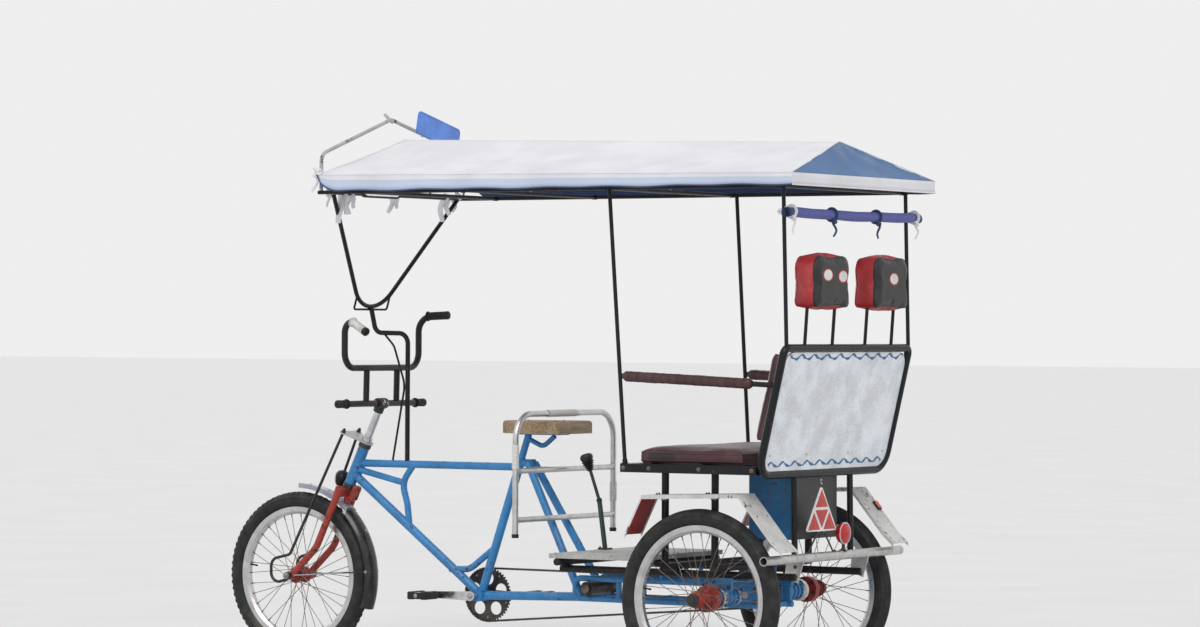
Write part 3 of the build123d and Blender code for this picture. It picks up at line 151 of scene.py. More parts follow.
def maths(tree, kind, first, second=0.0):
    node = tree.nodes.new("ShaderNodeMath")
    node.operation = kind
    feed(tree, node.inputs[0], first)
    feed(tree, node.inputs[1], second)
    return node.outputs[0]


def blended(tree, mask, first, second):
    node = tree.nodes.new("ShaderNodeMix")
    node.data_type = "RGBA"
    feed(tree, node.inputs[0], mask)
    feed(tree, node.inputs[6], first)
    feed(tree, node.inputs[7], second)
    return node.outputs[2]


def part_of(tree, vector, axis):
    node = tree.nodes.new("ShaderNodeSeparateXYZ")
    feed(tree, node.inputs[0], vector)
    return node.outputs[axis]


def normal_of(tree):
    return tree.nodes.new("ShaderNodeNewGeometry").outputs["Normal"]


def beyond(axis, low, high, source=place_of):
    """A mask that goes from 0 to 1 between low and high of a place's, or a normal's, x, y or z."""
    return lambda tree: spread(tree, part_of(tree, source(tree), axis), low, high)


def shade_variation(tree, colour, amount, scale):
    """The colour, a little lighter and darker in soft patches."""
    patches = spread(tree, grain(tree, scale, 2.0), 0.3, 0.7, 1.0 - amount, 1.0 + amount)
    node = tree.nodes.new("ShaderNodeHueSaturation")
    feed(tree, node.inputs["Color"], colour)
    feed(tree, node.inputs["Value"], patches)
    return node.outputs["Color"]


# Effects that several materials share
def make_worn_paint():
    """Brushed-on enamel with soft patches, brush marks, chips down to rust, and rust stains round them."""
    tree, given, made = shader_group("worn_paint", {
        "Paint": (0.1, 0.3, 0.6), "Rust": (0.09, 0.035,
                                           0.018), "Wear": 0.4, "Chip Scale": 60.0, "Gloss": 0.32},
        ["Color", "Roughness", "Height"])
    wear = maths(tree, "MULTIPLY", given["Wear"], 0.22)
    chips_at = maths(tree, "SUBTRACT", 0.72, wear)
    chips = spread(tree, grain(tree, given["Chip Scale"], 6.0, 0.62), chips_at,
                   maths(tree, "ADD", chips_at, 0.018))
    zones = spread(tree, grain(tree, 7.0, 2.0), 0.46, 0.6)
    chips = maths(tree, "MULTIPLY", chips, zones)
    stain_at = maths(tree, "SUBTRACT", 0.66, wear)
    stains = spread(tree, grain(tree, given["Chip Scale"], 6.0, 0.62), stain_at,
                    maths(tree, "ADD", stain_at, 0.09))
    stains = maths(tree, "MULTIPLY", maths(tree, "MULTIPLY", stains, zones), 0.45)
    coat = shade_variation(tree, given["Paint"], 0.13, 11.0)
    coat = shade_variation(tree, coat, 0.06, 90.0)
    coat = blended(tree, stains, coat, given["Rust"])
    rust = shade_variation(tree, given["Rust"], 0.45, 260.0)
    feed(tree, made["Color"], blended(tree, chips, coat, rust))
    brush = grain(tree, 160.0, 3.0)
    rough = maths(tree, "ADD", given["Gloss"], spread(tree, brush, 0.35, 0.7, 0.0, 0.14))
    feed(tree, made["Roughness"], maths(tree, "ADD", rough, maths(tree, "MULTIPLY", chips, 0.45)))
    height = maths(tree, "SUBTRACT", maths(tree, "MULTIPLY", brush, 0.25),
                   maths(tree, "MULTIPLY", chips, 0.8))
    feed(tree, made["Height"], height)
    return tree


def make_road_dust():
    """Pale dust that lies on upward faces and in low places."""
    tree, given, made = shader_group("road_dust", {
        "Color": (0.2, 0.2, 0.2), "Dust": (0.34, 0.3, 0.25), "Amount": 0.4}, ["Color"])
    up = spread(tree, part_of(tree, normal_of(tree), 2), -0.2, 1.0, 0.15, 1.0)
    low = spread(tree, part_of(tree, place_of(tree), 2), 0.9, 0.1, 0.35, 1.0)
    patches = spread(tree, grain(tree, 16.0, 5.0, 0.65), 0.38, 0.72)
    mask = maths(tree, "MULTIPLY", maths(tree, "MULTIPLY", up, low), patches)
    mask = maths(tree, "MULTIPLY", mask, given["Amount"])
    feed(tree, made["Color"], blended(tree, mask, given["Color"], given["Dust"]))
    return tree


def make_leather_grain():
    """Vinyl leather: fine pebbles, soft creases darkened with painted shade, and a paler worn look on the
    high places.
    """
    tree, given, made = shader_group("leather_grain", {
        "Leather": (0.1, 0.03, 0.03), "Rubbed": (0.25, 0.15, 0.14), "Pebble Scale": 900.0, "Creases": 0.5},
        ["Color", "Roughness", "Height"])
    pebbles = cells(tree, given["Pebble Scale"], "SMOOTH_F1")
    crease = cells(tree, 30.0, "DISTANCE_TO_EDGE", stretched(tree, place_of(tree), (1.0, 0.6, 1.4)))
    crease = maths(tree, "MULTIPLY", spread(tree, crease, 0.0, 0.05, 1.0, 0.0), given["Creases"])
    crease = maths(tree, "MULTIPLY", crease, spread(tree, grain(tree, 9.0, 3.0), 0.45, 0.65))
    rub = spread(tree, grain(tree, 8.0, 4.0, 0.6), 0.5, 0.78, 0.0, 0.55)
    tone = shade_variation(tree, given["Leather"], 0.18, 14.0)
    tone = blended(tree, rub, tone, given["Rubbed"])
    # Painted shade: the creases are darkened towards near black
    dark = maths(tree, "MULTIPLY", crease, 0.6)
    feed(tree, made["Color"], blended(tree, dark, tone, (0.008, 0.006, 0.006)))
    feed(tree, made["Roughness"], spread(tree, rub, 0.0, 0.5, 0.42, 0.6))
    height = maths(tree, "SUBTRACT", maths(tree, "MULTIPLY", pebbles, 0.35),
                   maths(tree, "MULTIPLY", crease, 1.2))
    feed(tree, made["Height"], height)
    return tree


def make_cloth_weave():
    """Coated canvas: crossed threads, faded patches and stains that run down."""
    tree, given, made = shader_group("cloth_weave", {
        "Cloth": (0.8, 0.8, 0.8), "Stain": (0.42, 0.4, 0.36), "Thread Scale": 260.0, "Dirt": 0.4},
        ["Color", "Height"])
    threads = []
    for direction in ("X", "Y"):
        wave = tree.nodes.new("ShaderNodeTexWave")
        wave.bands_direction = direction
        feed(tree, wave.inputs["Vector"], place_of(tree))
        feed(tree, wave.inputs["Scale"], given["Thread Scale"])
        wave.inputs["Distortion"].default_value = 0.6
        threads.append(wave.outputs["Fac"])
    weave = maths(tree, "ADD", threads[0], threads[1])
    runs = grain(tree, 9.0, 5.0, 0.6, stretched(tree, place_of(tree), (1.0, 0.5, 0.2)))
    stains = maths(tree, "MULTIPLY", spread(tree, runs, 0.5, 0.74), given["Dirt"])
    specks = maths(tree, "MULTIPLY", spread(tree, grain(tree, 140.0, 4.0, 0.7), 0.68, 0.74), given["Dirt"])
    tone = shade_variation(tree, given["Cloth"], 0.05, 5.0)
    tone = blended(tree, stains, tone, given["Stain"])
    feed(tree, made["Color"], blended(tree, specks, tone, given["Stain"]))
    creases = grain(tree, 24.0, 4.0, 0.6, None, 0.8)
    feed(tree, made["Height"], maths(tree, "ADD", maths(tree, "MULTIPLY", weave, 0.12), creases))
    return tree


def make_wood_grain():
    """Weathered board: long streaks, growth lines, small cracks darkened with painted shade, and a grey
    bloom.
    """
    tree, given, made = shader_group("wood_grain", {
        "Wood": (0.35, 0.24, 0.14), "Dark": (0.12, 0.07, 0.035), "Bloom": (0.42, 0.4,
                                                                           0.37), "Bloom Amount": 0.4},
        ["Color", "Roughness", "Height"])
    along = stretched(tree, place_of(tree), (14.0, 1.0, 14.0))
    streaks = grain(tree, 9.0, 6.0, 0.6, along, 0.4)
    lines = grain(tree, 40.0, 4.0, 0.5, along)
    tone = blended(tree, spread(tree, streaks, 0.35, 0.7), given["Dark"], given["Wood"])
    bloom = maths(tree, "MULTIPLY", spread(tree, grain(tree, 7.0, 5.0, 0.6), 0.36, 0.66),
                  given["Bloom Amount"])
    tone = blended(tree, bloom, tone, given["Bloom"])
    cracks = spread(tree, lines, 0.3, 0.36, 1.0, 0.0)
    # Painted shade: the cracks are darkened towards near black
    feed(tree, made["Color"], blended(tree, maths(tree, "MULTIPLY", cracks, 0.6), tone, (0.03, 0.02, 0.012)))
    feed(tree, made["Roughness"], spread(tree, streaks, 0.3, 0.7, 0.75, 0.55))
    feed(tree, made["Height"], maths(tree, "SUBTRACT", lines, cracks))
    return tree


def make_handled_metal():
    """Bare or plated metal: fine scratches, tarnish patches and rust specks."""
    tree, given, made = shader_group("handled_metal", {
        "Metal": (0.6, 0.6, 0.6), "Tarnish": (0.2, 0.16, 0.12), "Age": 0.4, "Polish": 0.25},
        ["Color", "Roughness", "Metallic", "Height"])
    scratches = grain(tree, 60.0, 5.0, 0.7, stretched(tree, place_of(tree), (1.0, 9.0, 1.0)))
    age = maths(tree, "MULTIPLY", spread(tree, grain(tree, 22.0, 6.0, 0.65), 0.42, 0.72), given["Age"])
    specks_at = maths(tree, "SUBTRACT", 0.78, maths(tree, "MULTIPLY", given["Age"], 0.16))
    specks = spread(tree, grain(tree, 170.0, 5.0, 0.6), specks_at, maths(tree, "ADD", specks_at, 0.03))
    tone = shade_variation(tree, given["Metal"], 0.08, 30.0)
    tone = blended(tree, age, tone, given["Tarnish"])
    feed(tree, made["Color"], blended(tree, specks, tone, (0.085, 0.032, 0.015)))
    rough = maths(tree, "ADD", given["Polish"], spread(tree, scratches, 0.4, 0.7, 0.0, 0.16))
    feed(tree, made["Roughness"], maths(tree, "ADD", rough, maths(tree, "MULTIPLY", age, 0.3)))
    dull = maths(tree, "MAXIMUM", specks, maths(tree, "MULTIPLY", age, 0.6))
    feed(tree, made["Metallic"], maths(tree, "SUBTRACT", 1.0, dull))
    feed(tree, made["Height"], maths(tree, "ADD", scratches, maths(tree, "MULTIPLY", specks, 0.8)))
    return tree


WORN_PAINT = make_worn_paint()
ROAD_DUST = make_road_dust()
LEATHER_GRAIN = make_leather_grain()
CLOTH_WEAVE = make_cloth_weave()
WOOD_GRAIN = make_wood_grain()
HANDLED_METAL = make_handled_metal()


class Finish:
    """One material: its tree, its shader, and calls that put the shared effects in front of it."""

    def __init__(self, name, **plain):
        self.material = bpy.data.materials.new(name)
        self.material.use_nodes = True
        self.tree = self.material.node_tree
        self.shader = self.tree.nodes["Principled BSDF"]
        for label, value in plain.items():
            self.shader.inputs[label.replace("_", " ")].default_value = value

    def effect(self, group, **values):
        node = self.tree.nodes.new("ShaderNodeGroup")
        node.node_tree = group
        for label, value in values.items():
            feed(self.tree, node.inputs[label.replace("_", " ")], value)
        return node.outputs

    def join(self, label, value):
        feed(self.tree, self.shader.inputs[label], value)

    def bump(self, height, distance, strength=0.6):
        node = self.tree.nodes.new("ShaderNodeBump")
        node.inputs["Strength"].default_value = strength
        node.inputs["Distance"].default_value = distance
        feed(self.tree, node.inputs["Height"], height)
        self.join("Normal", node.outputs["Normal"])

    def dusted(self, colour, amount):
        self.join("Base Color", self.effect(ROAD_DUST, Color=colour, Amount=amount)["Color"])

    def coated(self, coat, dust, depth, strength=0.6):
        """Takes colour, roughness, shine and height from a shared effect, under dust."""
        self.dusted(coat["Color"], dust)
        for label in ("Roughness", "Metallic"):
            if label in coat:
                self.join(label, coat[label])
        self.bump(coat["Height"], depth, strength)
        return self.material


def paint(name, colour, wear, gloss=0.32, chips=60.0, dust=0.3, rust=(0.09, 0.035, 0.018), shine=0.5):
    made = Finish(name, Specular_IOR_Level=shine)
    coat = made.effect(WORN_PAINT, Paint=colour, Wear=wear, Chip_Scale=chips, Gloss=gloss, Rust=rust)
    return made.coated(coat, dust, 0.0006)


def metal(name, colour, age, polish, tarnish=(0.2, 0.16, 0.12), dust=0.15):
    made = Finish(name)
    bare = made.effect(HANDLED_METAL, Metal=colour, Tarnish=tarnish, Age=age, Polish=polish)
    return made.coated(bare, dust, 0.0002, 0.35)


def leather(name, colour, rubbed, creases=0.5):
    made = Finish(name)
    hide = made.effect(LEATHER_GRAIN, Leather=colour, Rubbed=rubbed, Creases=creases)
    return made.coated(hide, 0.12, 0.0008, 0.5)


def board(name, wood, dark, bloom, bloom_amount):
    made = Finish(name)
    plank = made.effect(WOOD_GRAIN, Wood=wood, Dark=dark, Bloom=bloom, Bloom_Amount=bloom_amount)
    return made.coated(plank, 0.3, 0.0012, 0.5)


def rubber(name, colour, rough=0.62, dust=0.3):
    made = Finish(name, Specular_IOR_Level=0.3)
    tone = shade_variation(made.tree, colour, 0.25, 30.0)
    made.dusted(tone, dust)
    made.join("Roughness", spread(made.tree, grain(made.tree, 40.0, 4.0), 0.3, 0.7, rough - 0.08,
                                  rough + 0.12))
    made.bump(grain(made.tree, 500.0, 3.0), 0.0004, 0.5)
    return made.material


def cloth(name, colour, stain, dirt, threads=260.0, rough=0.75):
    made = Finish(name, Roughness=rough, Sheen_Weight=0.15)
    canvas = made.effect(CLOTH_WEAVE, Cloth=colour, Stain=stain, Dirt=dirt, Thread_Scale=threads)
    made.join("Base Color", canvas["Color"])
    made.bump(canvas["Height"], 0.0015, 0.5)
    return made.material


BLUE = (0.03, 0.215, 0.50)
RED = (0.36, 0.03, 0.02)
BLACK = (0.008, 0.009, 0.011)
MAROON = (0.065, 0.022, 0.026)

blue_enamel = paint("blue_enamel", BLUE, 0.5)
red_enamel = paint("red_enamel", RED, 0.8)
black_enamel = paint("black_enamel", BLACK, 0.4, 0.26, 60.0, 0.06, shine=0.28)
black_bar_enamel = paint("black_bar_enamel", (0.011, 0.012, 0.013), 0.25, 0.22, 80.0, 0.04, shine=0.35)
dark_chassis_enamel = paint("dark_chassis_enamel", (0.012, 0.013, 0.016), 0.6, 0.4, 60.0, 0.12, shine=0.28)
gable_enamel = paint("gable_enamel", (0.44, 0.44, 0.45), 0.55, 0.34, 45.0, 0.15, (0.11, 0.06, 0.035))
board_enamel = paint("board_enamel", (0.78, 0.81, 0.86), 0.08, 0.24, 40.0, 0.02)
chrome_plate = metal("chrome_plate", (0.62, 0.63, 0.65), 0.3, 0.12)
galvanised = metal("galvanised", (0.56, 0.56, 0.55), 0.45, 0.3, (0.3, 0.26, 0.21))
aluminium = metal("aluminium", (0.6, 0.6, 0.6), 0.25, 0.27, (0.35, 0.33, 0.3))
greasy_steel = metal("greasy_steel", (0.09, 0.085, 0.08), 0.9, 0.38, (0.03, 0.022, 0.016), 0.35)
bright_steel = metal("bright_steel", (0.42, 0.41, 0.4), 0.6, 0.3)
tyre_rubber = rubber("tyre_rubber", (0.018, 0.019, 0.02))
black_rubber = rubber("black_rubber", (0.014, 0.014, 0.015), 0.5, 0.2)
saddle_board = board("saddle_board", (0.42, 0.30, 0.17), (0.2, 0.13, 0.07), (0.45, 0.38, 0.27), 0.4)
deck_board = board("deck_board", (0.5, 0.5, 0.48), (0.3, 0.3, 0.29), (0.62, 0.62, 0.6), 0.6)
maroon_vinyl = leather("maroon_vinyl", MAROON, (0.17, 0.085, 0.085))
red_vinyl = leather("red_vinyl", (0.33, 0.018, 0.022), (0.5, 0.1, 0.11), 0.3)
white_canvas = cloth("white_canvas", (0.80, 0.80, 0.84), (0.55, 0.56, 0.6), 0.16)
# Blue cloth; on the canopy's rear slope it is painted shade
blue_canvas_and_shade = cloth("blue_canvas_and_shade", (0.075, 0.17, 0.36), (0.35, 0.38, 0.42), 0.35)
# Navy cloth; inside the canopy's side hem it is painted shade
navy_cloth_and_shade = cloth("navy_cloth_and_shade", (0.022, 0.05, 0.15), (0.1, 0.1, 0.12), 0.3)


def rim_finish():
    """Bright rim, dull spokes: the Generated place tells how far from the wheel's axle a point lies."""
    made = Finish("rim_and_spokes")
    tree = made.tree
    place = place_of(tree, "Generated")
    reach = []
    for axis in (0, 2):
        away = maths(tree, "SUBTRACT", part_of(tree, place, axis), 0.5)
        reach.append(maths(tree, "MULTIPLY", away, away))
    radius = maths(tree, "SQRT", maths(tree, "ADD", reach[0], reach[1]))
    on_rim = spread(tree, radius, 0.440, 0.446)
    bright = made.effect(HANDLED_METAL, Metal=(0.58, 0.58, 0.58), Tarnish=(0.3, 0.27, 0.23), Age=0.35,
                         Polish=0.26)
    dull = made.effect(HANDLED_METAL, Metal=(0.22, 0.19, 0.17), Tarnish=(0.1, 0.045, 0.03), Age=0.9,
                       Polish=0.4)
    made.join("Base Color", blended(tree, on_rim, dull["Color"], bright["Color"]))
    made.join("Roughness", bright["Roughness"])
    made.join("Metallic", bright["Metallic"])
    made.bump(bright["Height"], 0.0002, 0.3)
    return made.material


def two_tone(name, first, second, mask_from):
    """One enamel over another, where mask_from(tree) is 1."""
    made = Finish(name)
    tree = made.tree
    coats = [made.effect(WORN_PAINT, **values) for values in (first, second)]
    made.dusted(blended(tree, mask_from(tree), coats[0]["Color"], coats[1]["Color"]), 0.25)
    made.join("Roughness", coats[0]["Roughness"])
    made.bump(coats[0]["Height"], 0.0005)
    return made.material


def under_front_flap(tree):
    ahead = beyond(0, FENDER_FLAP_X, FENDER_FLAP_X + 0.002)(tree)
    return maths(tree, "MULTIPLY", ahead, beyond(2, -0.1, -0.2, normal_of)(tree))


def on_truss_plate(tree):
    """1 on the plate that crosses the steering axis above the headset."""
    place = place_of(tree)
    along = maths(tree, "ADD", maths(tree, "MULTIPLY", part_of(tree, place, 0), -sin(HEAD_ANGLE)),
                  maths(tree, "MULTIPLY", part_of(tree, place, 2), cos(HEAD_ANGLE)))
    return spread(tree, along, TRUSS_PLATE_REACH, TRUSS_PLATE_REACH + 0.0005)


def shiny(name, colour, rough, metallic=0.0):
    """Glass, lens or smooth plastic: faint smears and scratches."""
    made = Finish(name, Metallic=metallic)
    scale = 60.0
    made.join("Base Color", shade_variation(made.tree, colour, 0.08, scale))
    smears = spread(made.tree, grain(made.tree, scale, 4.0, 0.6), 0.4, 0.75, rough, rough + 0.16)
    made.join("Roughness", smears)
    made.bump(grain(made.tree, 30.0, 2.0), 0.0003, 0.25)
    return made.material


def headrest_finish():
    """Red vinyl with a black rear face."""
    made = Finish("headrest_vinyl")
    hides = [made.effect(LEATHER_GRAIN, Leather=tone, Rubbed=rub, Creases=0.3)
             for tone, rub in (((0.36, 0.016, 0.02), (0.5, 0.1, 0.11)),
                               ((0.014, 0.014, 0.016), (0.05, 0.05, 0.05)))]
    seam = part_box("headrests")[0].x + 0.021
    behind = spread(made.tree, part_of(made.tree, place_of(made.tree), 0), seam + 0.0006, seam)
    made.dusted(blended(made.tree, behind, hides[0]["Color"], hides[1]["Color"]), 0.1)
    made.join("Roughness", hides[0]["Roughness"])
    made.bump(hides[0]["Height"], 0.0008, 0.5)
    return made.material


# Where the painted highlight on the front mudguard begins: 82 mm ahead of the tyre's rear edge
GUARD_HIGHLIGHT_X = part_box("front_tyre")[0].x + 0.082
FENDER_FLAP_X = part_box("fenders")[1].x - 0.07
# Along the steering axis from the origin to just under the plate
TRUSS_PLATE_REACH = (1.6822 - 0.936) * -sin(HEAD_ANGLE) + 0.8133 * cos(HEAD_ANGLE) + 0.0005
# Near black: the front mudguard's enamel, and painted shade on the under-seat box's rear faces
BLACK_PAINT_AND_SHADE = (0.012, 0.013, 0.014)
# The front mudguard is black enamel; the bluish grey on its upper part, forward of that line, is a painted
# highlight
guard_enamel_and_highlight = two_tone("guard_enamel_and_highlight", {"Paint": BLACK_PAINT_AND_SHADE, "Wear": 0.3, "Gloss": 0.14},
                        {"Paint": (0.34, 0.35, 0.42), "Wear": 0.7}, beyond(0, GUARD_HIGHLIGHT_X,
                                                                           GUARD_HIGHLIGHT_X + 0.002))
fender_enamel = two_tone("fender_enamel", {"Paint": (0.58, 0.58, 0.57), "Wear": 0.55, "Gloss": 0.3},
                         {"Paint": (0.33, 0.02, 0.016), "Wear": 0.3}, under_front_flap)
truss_enamel = two_tone("truss_enamel", {"Paint": BLACK, "Wear": 0.4},
                        {"Paint": (0.5, 0.5, 0.5), "Wear": 0.5, "Gloss": 0.22}, on_truss_plate)
triangle_enamel = two_tone("triangle_enamel", {"Paint": (0.76, 0.77, 0.78), "Wear": 0.25},
                           {"Paint": BLACK, "Wear": 0.4}, beyond(2, 0.5435, 0.5425))
lever_enamel = two_tone("lever_enamel", {"Paint": BLACK, "Wear": 0.3},
                        {"Paint": (0.012, 0.05, 0.035), "Wear": 0.6}, beyond(2, 0.621, 0.619))
# The under-seat box is blue enamel; the near black on its faces that look rearwards is painted shade
box_enamel_and_shade = two_tone("box_enamel_and_shade", {"Paint": (0.012, 0.13, 0.3), "Wear": 0.5}, {"Paint": BLACK_PAINT_AND_SHADE, "Wear": 0.5},
                      beyond(0, -0.5, -0.6, normal_of))
red_lens = shiny("red_lens", (0.5, 0.012, 0.01), 0.1)
orange_lens = shiny("orange_lens", (0.62, 0.09, 0.03), 0.16)
mirror_glass = shiny("mirror_glass", (0.9, 0.91, 0.92), 0.02, 1.0)
lamp_glass = shiny("lamp_glass", (0.55, 0.58, 0.6), 0.05)
red_enamel_sign = paint("red_enamel_sign", (0.52, 0.028, 0.02), 0.12, 0.26, 50.0, 0.1)
blue_brush_paint = paint("blue_brush_paint", (0.03, 0.15, 0.34), 0.2, 0.4, 70.0, 0.03)
oval_white = paint("oval_white", (0.72, 0.72, 0.7), 0.15, 0.4, 60.0, 0.08)
sign_enamel = paint("sign_enamel", (0.11, 0.27, 0.78), 0.25, 0.25, 40.0, 0.04)
white_rubber = rubber("white_rubber", (0.62, 0.62, 0.6), 0.48, 0.3)
white_tape = cloth("white_tape", (0.66, 0.66, 0.64), (0.3, 0.28, 0.25), 0.6, 700.0, 0.6)
pale_blue_hem = cloth("pale_blue_hem", (0.58, 0.66, 0.82), (0.5, 0.55, 0.65), 0.2)
# Painted shade: the white canopy's underside, darker and bluer than its top
canopy_underside_shade = cloth("canopy_underside_shade", (0.56, 0.56, 0.64), (0.35, 0.34, 0.36), 0.3)
violet_canvas = cloth("violet_canvas", (0.085, 0.10, 0.36), (0.16, 0.18, 0.35), 0.4)
rusty_steel = metal("rusty_steel", (0.2, 0.17, 0.15), 1.0, 0.42, (0.09, 0.045, 0.03), 0.3)
black_steel = paint("black_steel", (0.02, 0.02, 0.021), 0.9, 0.36, 120.0, 0.25)
maroon_patch = leather("maroon_patch", (0.022, 0.016, 0.02), (0.06, 0.04, 0.045), 0.2)
guard_edge = paint("guard_edge", (0.012, 0.013, 0.014), 0.4, 0.2)
headrest_vinyl = headrest_finish()
rim_and_spokes = rim_finish()

NODE_FINISHES = {
    blue_enamel: ["main_frame", "ladder_frame", "axle_housings", "seat_post"],
    red_enamel: ["fork", "front_hub", "rear_left_hub", "rear_right_hub"],
    black_enamel: ["seat_frame", "seat_legs", "backrest_frame", "canopy_posts", "eave_rails",
                   "roof_cross_tubes",
                   "v_strut", "canopy_front_post", "armrest_rods", "front_lamp", "mirror"],
    truss_enamel: ["truss_rods"],
    triangle_enamel: ["warning_triangle"],
    lever_enamel: ["brake_lever"],
    dark_chassis_enamel: ["carrier_rails", "carrier_cross_tubes"],
    black_bar_enamel: ["handlebar", "pedals"],
    gable_enamel: ["gable_frame", "ridge_pole"],
    board_enamel: ["backrest_board"],
    chrome_plate: ["stem", "crank_arms"],
    galvanised: ["bumper"],
    aluminium: ["back_hoop"],
    greasy_steel: ["chainring", "chain", "idler_hub", "headset_cups"],
    bright_steel: ["rear_axle"],
    rim_and_spokes: ["front_spoked_rim", "rear_left_spoked_rim", "rear_right_spoked_rim"],
    tyre_rubber: ["front_tyre", "rear_left_tyre", "rear_right_tyre"],
    black_rubber: ["grips"],
    saddle_board: ["driver_seat"],
    deck_board: ["footrest_deck"],
    guard_enamel_and_highlight: ["front_mudguard"],
    fender_enamel: ["fenders"],
    box_enamel_and_shade: ["under_seat_box"],
    maroon_vinyl: ["seat_cushion", "backrest_pad", "armrest_pads"],
    red_vinyl: ["headrests", "tail_lamp"],
    sign_enamel: ["gable_plate"],
    navy_cloth_and_shade: ["rolled_curtain"],
    white_canvas: ["canopy"],
}
for finish, names in NODE_FINISHES.items():
    for name in names:
        NODES[name].data.materials.clear()
        NODES[name].data.materials.append(finish)


# Building blocks for the pieces. Tables are in millimetres, with x forward of the rear axle
REAR_AXLE_X = sum(corner.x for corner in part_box("rear_left_tyre")) / 2
MM = 0.001
WHEEL_R = 312
SQUARE = ((-1, -1), (1, -1), (1, 1), (-1, 1))


def at(x, y, z):
    """A point of the model, from its place in millimetres."""
    return Vector((REAR_AXLE_X + x * MM, y * MM, z * MM))


def centre_of(node):
    low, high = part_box(node)
    return (low + high) / 2


def around(angle):
    """The direction at an angle in a wheel's plane."""
    return Vector((cos(angle), 0, sin(angle)))


def looped(count, place):
    """What place gives at evenly spaced turns of a closed loop."""
    return [place(tau * k / count) for k in range(count)]


def stepped(count, place):
    """What place gives at even steps from 0 to 1."""
    return [place(k / count) for k in range(count + 1)]


def square_to(axis):
    """Two directions square to an axis and to each other."""
    aside = axis.orthogonal().normalized()
    return aside, axis.cross(aside)


def bumpy(point, scale, seed=0.0):
    """Smooth noise from -1 to 1 that is the same in each run."""
    return noise.noise(point * scale + Vector((seed, 2 * seed, 3 * seed)))


def circle(radius, sides=16):
    return looped(sides, lambda turn: (radius * cos(turn), radius * sin(turn)))


def flat_band(width, thickness):
    """The section of a strap with soft edges."""
    half = width / 2
    thin = thickness / 2
    soft = half * 0.9
    return [(-half, 0), (-soft, -thin), (0, -thin), (soft, -thin), (half, 0), (soft, thin), (0, thin),
            (-soft, thin)]


def skin(bm, rings, finish=0, closed=False, caps=True):
    """Joins rings of places to one skin."""
    rings = [[bm.verts.new(place) for place in ring] for ring in rings]
    loops = rings + rings[:1] if closed else rings
    for first, second in zip(loops, loops[1:]):
        for k in range(len(first)):
            bm.faces.new((first[k - 1], first[k], second[k], second[k - 1])).material_index = finish
    if caps and not closed:
        for end in (rings[0], rings[-1]):
            bm.faces.new(end).material_index = finish


def turned(bm, centre, axis, profile, sides=24, finish=0, closed=False):
    """A turned shape round an axis, from (along, radius) points in millimetres."""
    axis = axis.normalized()
    aside, over = square_to(axis)
    rings = [[centre + axis * (along * MM) + aside * a + over * b for a, b in circle(radius * MM, sides)]
             for along, radius in profile]
    skin(bm, rings, finish, closed)


def swept(bm, points, section, finish=0, closed=False, over=None):
    """Carries a section along the points: a list of (aside, over), or a call that gives one from 0 to 1."""
    rings = []
    last = len(points) - 1
    side = None
    for index, point in enumerate(points):
        if closed:
            ahead = points[(index + 1) % len(points)] - points[index - 1]
        else:
            ahead = points[min(index + 1, last)] - points[max(index - 1, 0)]
        ahead.normalize()
        if over is not None:
            side = ahead.cross(over)
        elif side is None:
            side = ahead.orthogonal()
        side = (side - ahead * side.dot(ahead)).normalized()
        up = side.cross(ahead)
        shape = section(index / last) if callable(section) else section
        rings.append([point + side * a + up * b for a, b in shape])
    skin(bm, rings, finish, closed)


def grid(bm, rows, finish_at, flip=False):
    """Faces between rows of vertices. finish_at gives each row of faces its finish."""
    for j, (first, second) in enumerate(zip(rows, rows[1:])):
        for i in range(len(first) - 1):
            corner = (first[i], first[i + 1], second[i + 1], second[i])
            bm.faces.new(corner[::-1] if flip else corner).material_index = finish_at(j)


def kept(name, bm, finishes, body="chassis", sharp=38):
    """Makes the piece from its mesh, and lets it ride on a body."""
    bmesh.ops.recalc_face_normals(bm, faces=bm.faces)
    mesh = bpy.data.meshes.new(name)
    bm.to_mesh(mesh)
    bm.free()
    mesh.shade_smooth()
    mesh.set_sharp_from_angle(angle=radians(sharp))
    for finish in finishes:
        mesh.materials.append(finish)
    piece = linked(name, mesh)
    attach(piece, body)
    return piece


def bolt(bm, place, out, across=13.0, finish=0, head=5.0):
    """A washer, a six-sided head and the bolt's end."""
    flat = across * 0.577
    turned(bm, place, out, [(-1, across * 0.85), (1.2, across * 0.85), (1.6, across * 0.75)], 18, finish)
    turned(bm, place, out, [(1.2, across * 0.54), (1.8, flat), (head - 0.8, flat), (head, across * 0.5)], 6,
           finish)
    turned(bm, place, out, [(head - 0.2, across * 0.3), (head + 2.2, across * 0.3), (head + 3, across * 0.2)],
           10, finish)


def screw(bm, place, out, radius=3.6, finish=0):
    """A domed screw head with a dimple."""
    profile = [(-0.5, radius), (0.6, radius), (1.6, radius * 0.72), (2.0, radius * 0.35), (1.2, radius * 0.2)]
    turned(bm, place, out, profile, 12, finish)


def weld(bm, centre, axis, radius, finish=0, seed=0.0):
    """A lumpy bead round a tube."""
    axis = axis.normalized()
    aside, over = square_to(axis)
    steps = 40
    points = []
    for k in range(steps):
        turn = tau * k / steps
        lump = 0.35 * sin(k * 2.1 + seed) + 0.3 * sin(k * 3.7 + 2 * seed)
        outward = aside * cos(turn) + over * sin(turn)
        points.append(centre + outward * ((radius + lump) * MM) + axis * (lump * MM))
    swept(bm, points, lambda t: circle(2.6 * MM * (0.9 + 0.2 * sin(40 * t * 6.28 / 2.3 + seed)), 8), finish,
          True)


def evaluated(piece):
    return bpy.data.meshes.new_from_object(piece.evaluated_get(bpy.context.evaluated_depsgraph_get()))


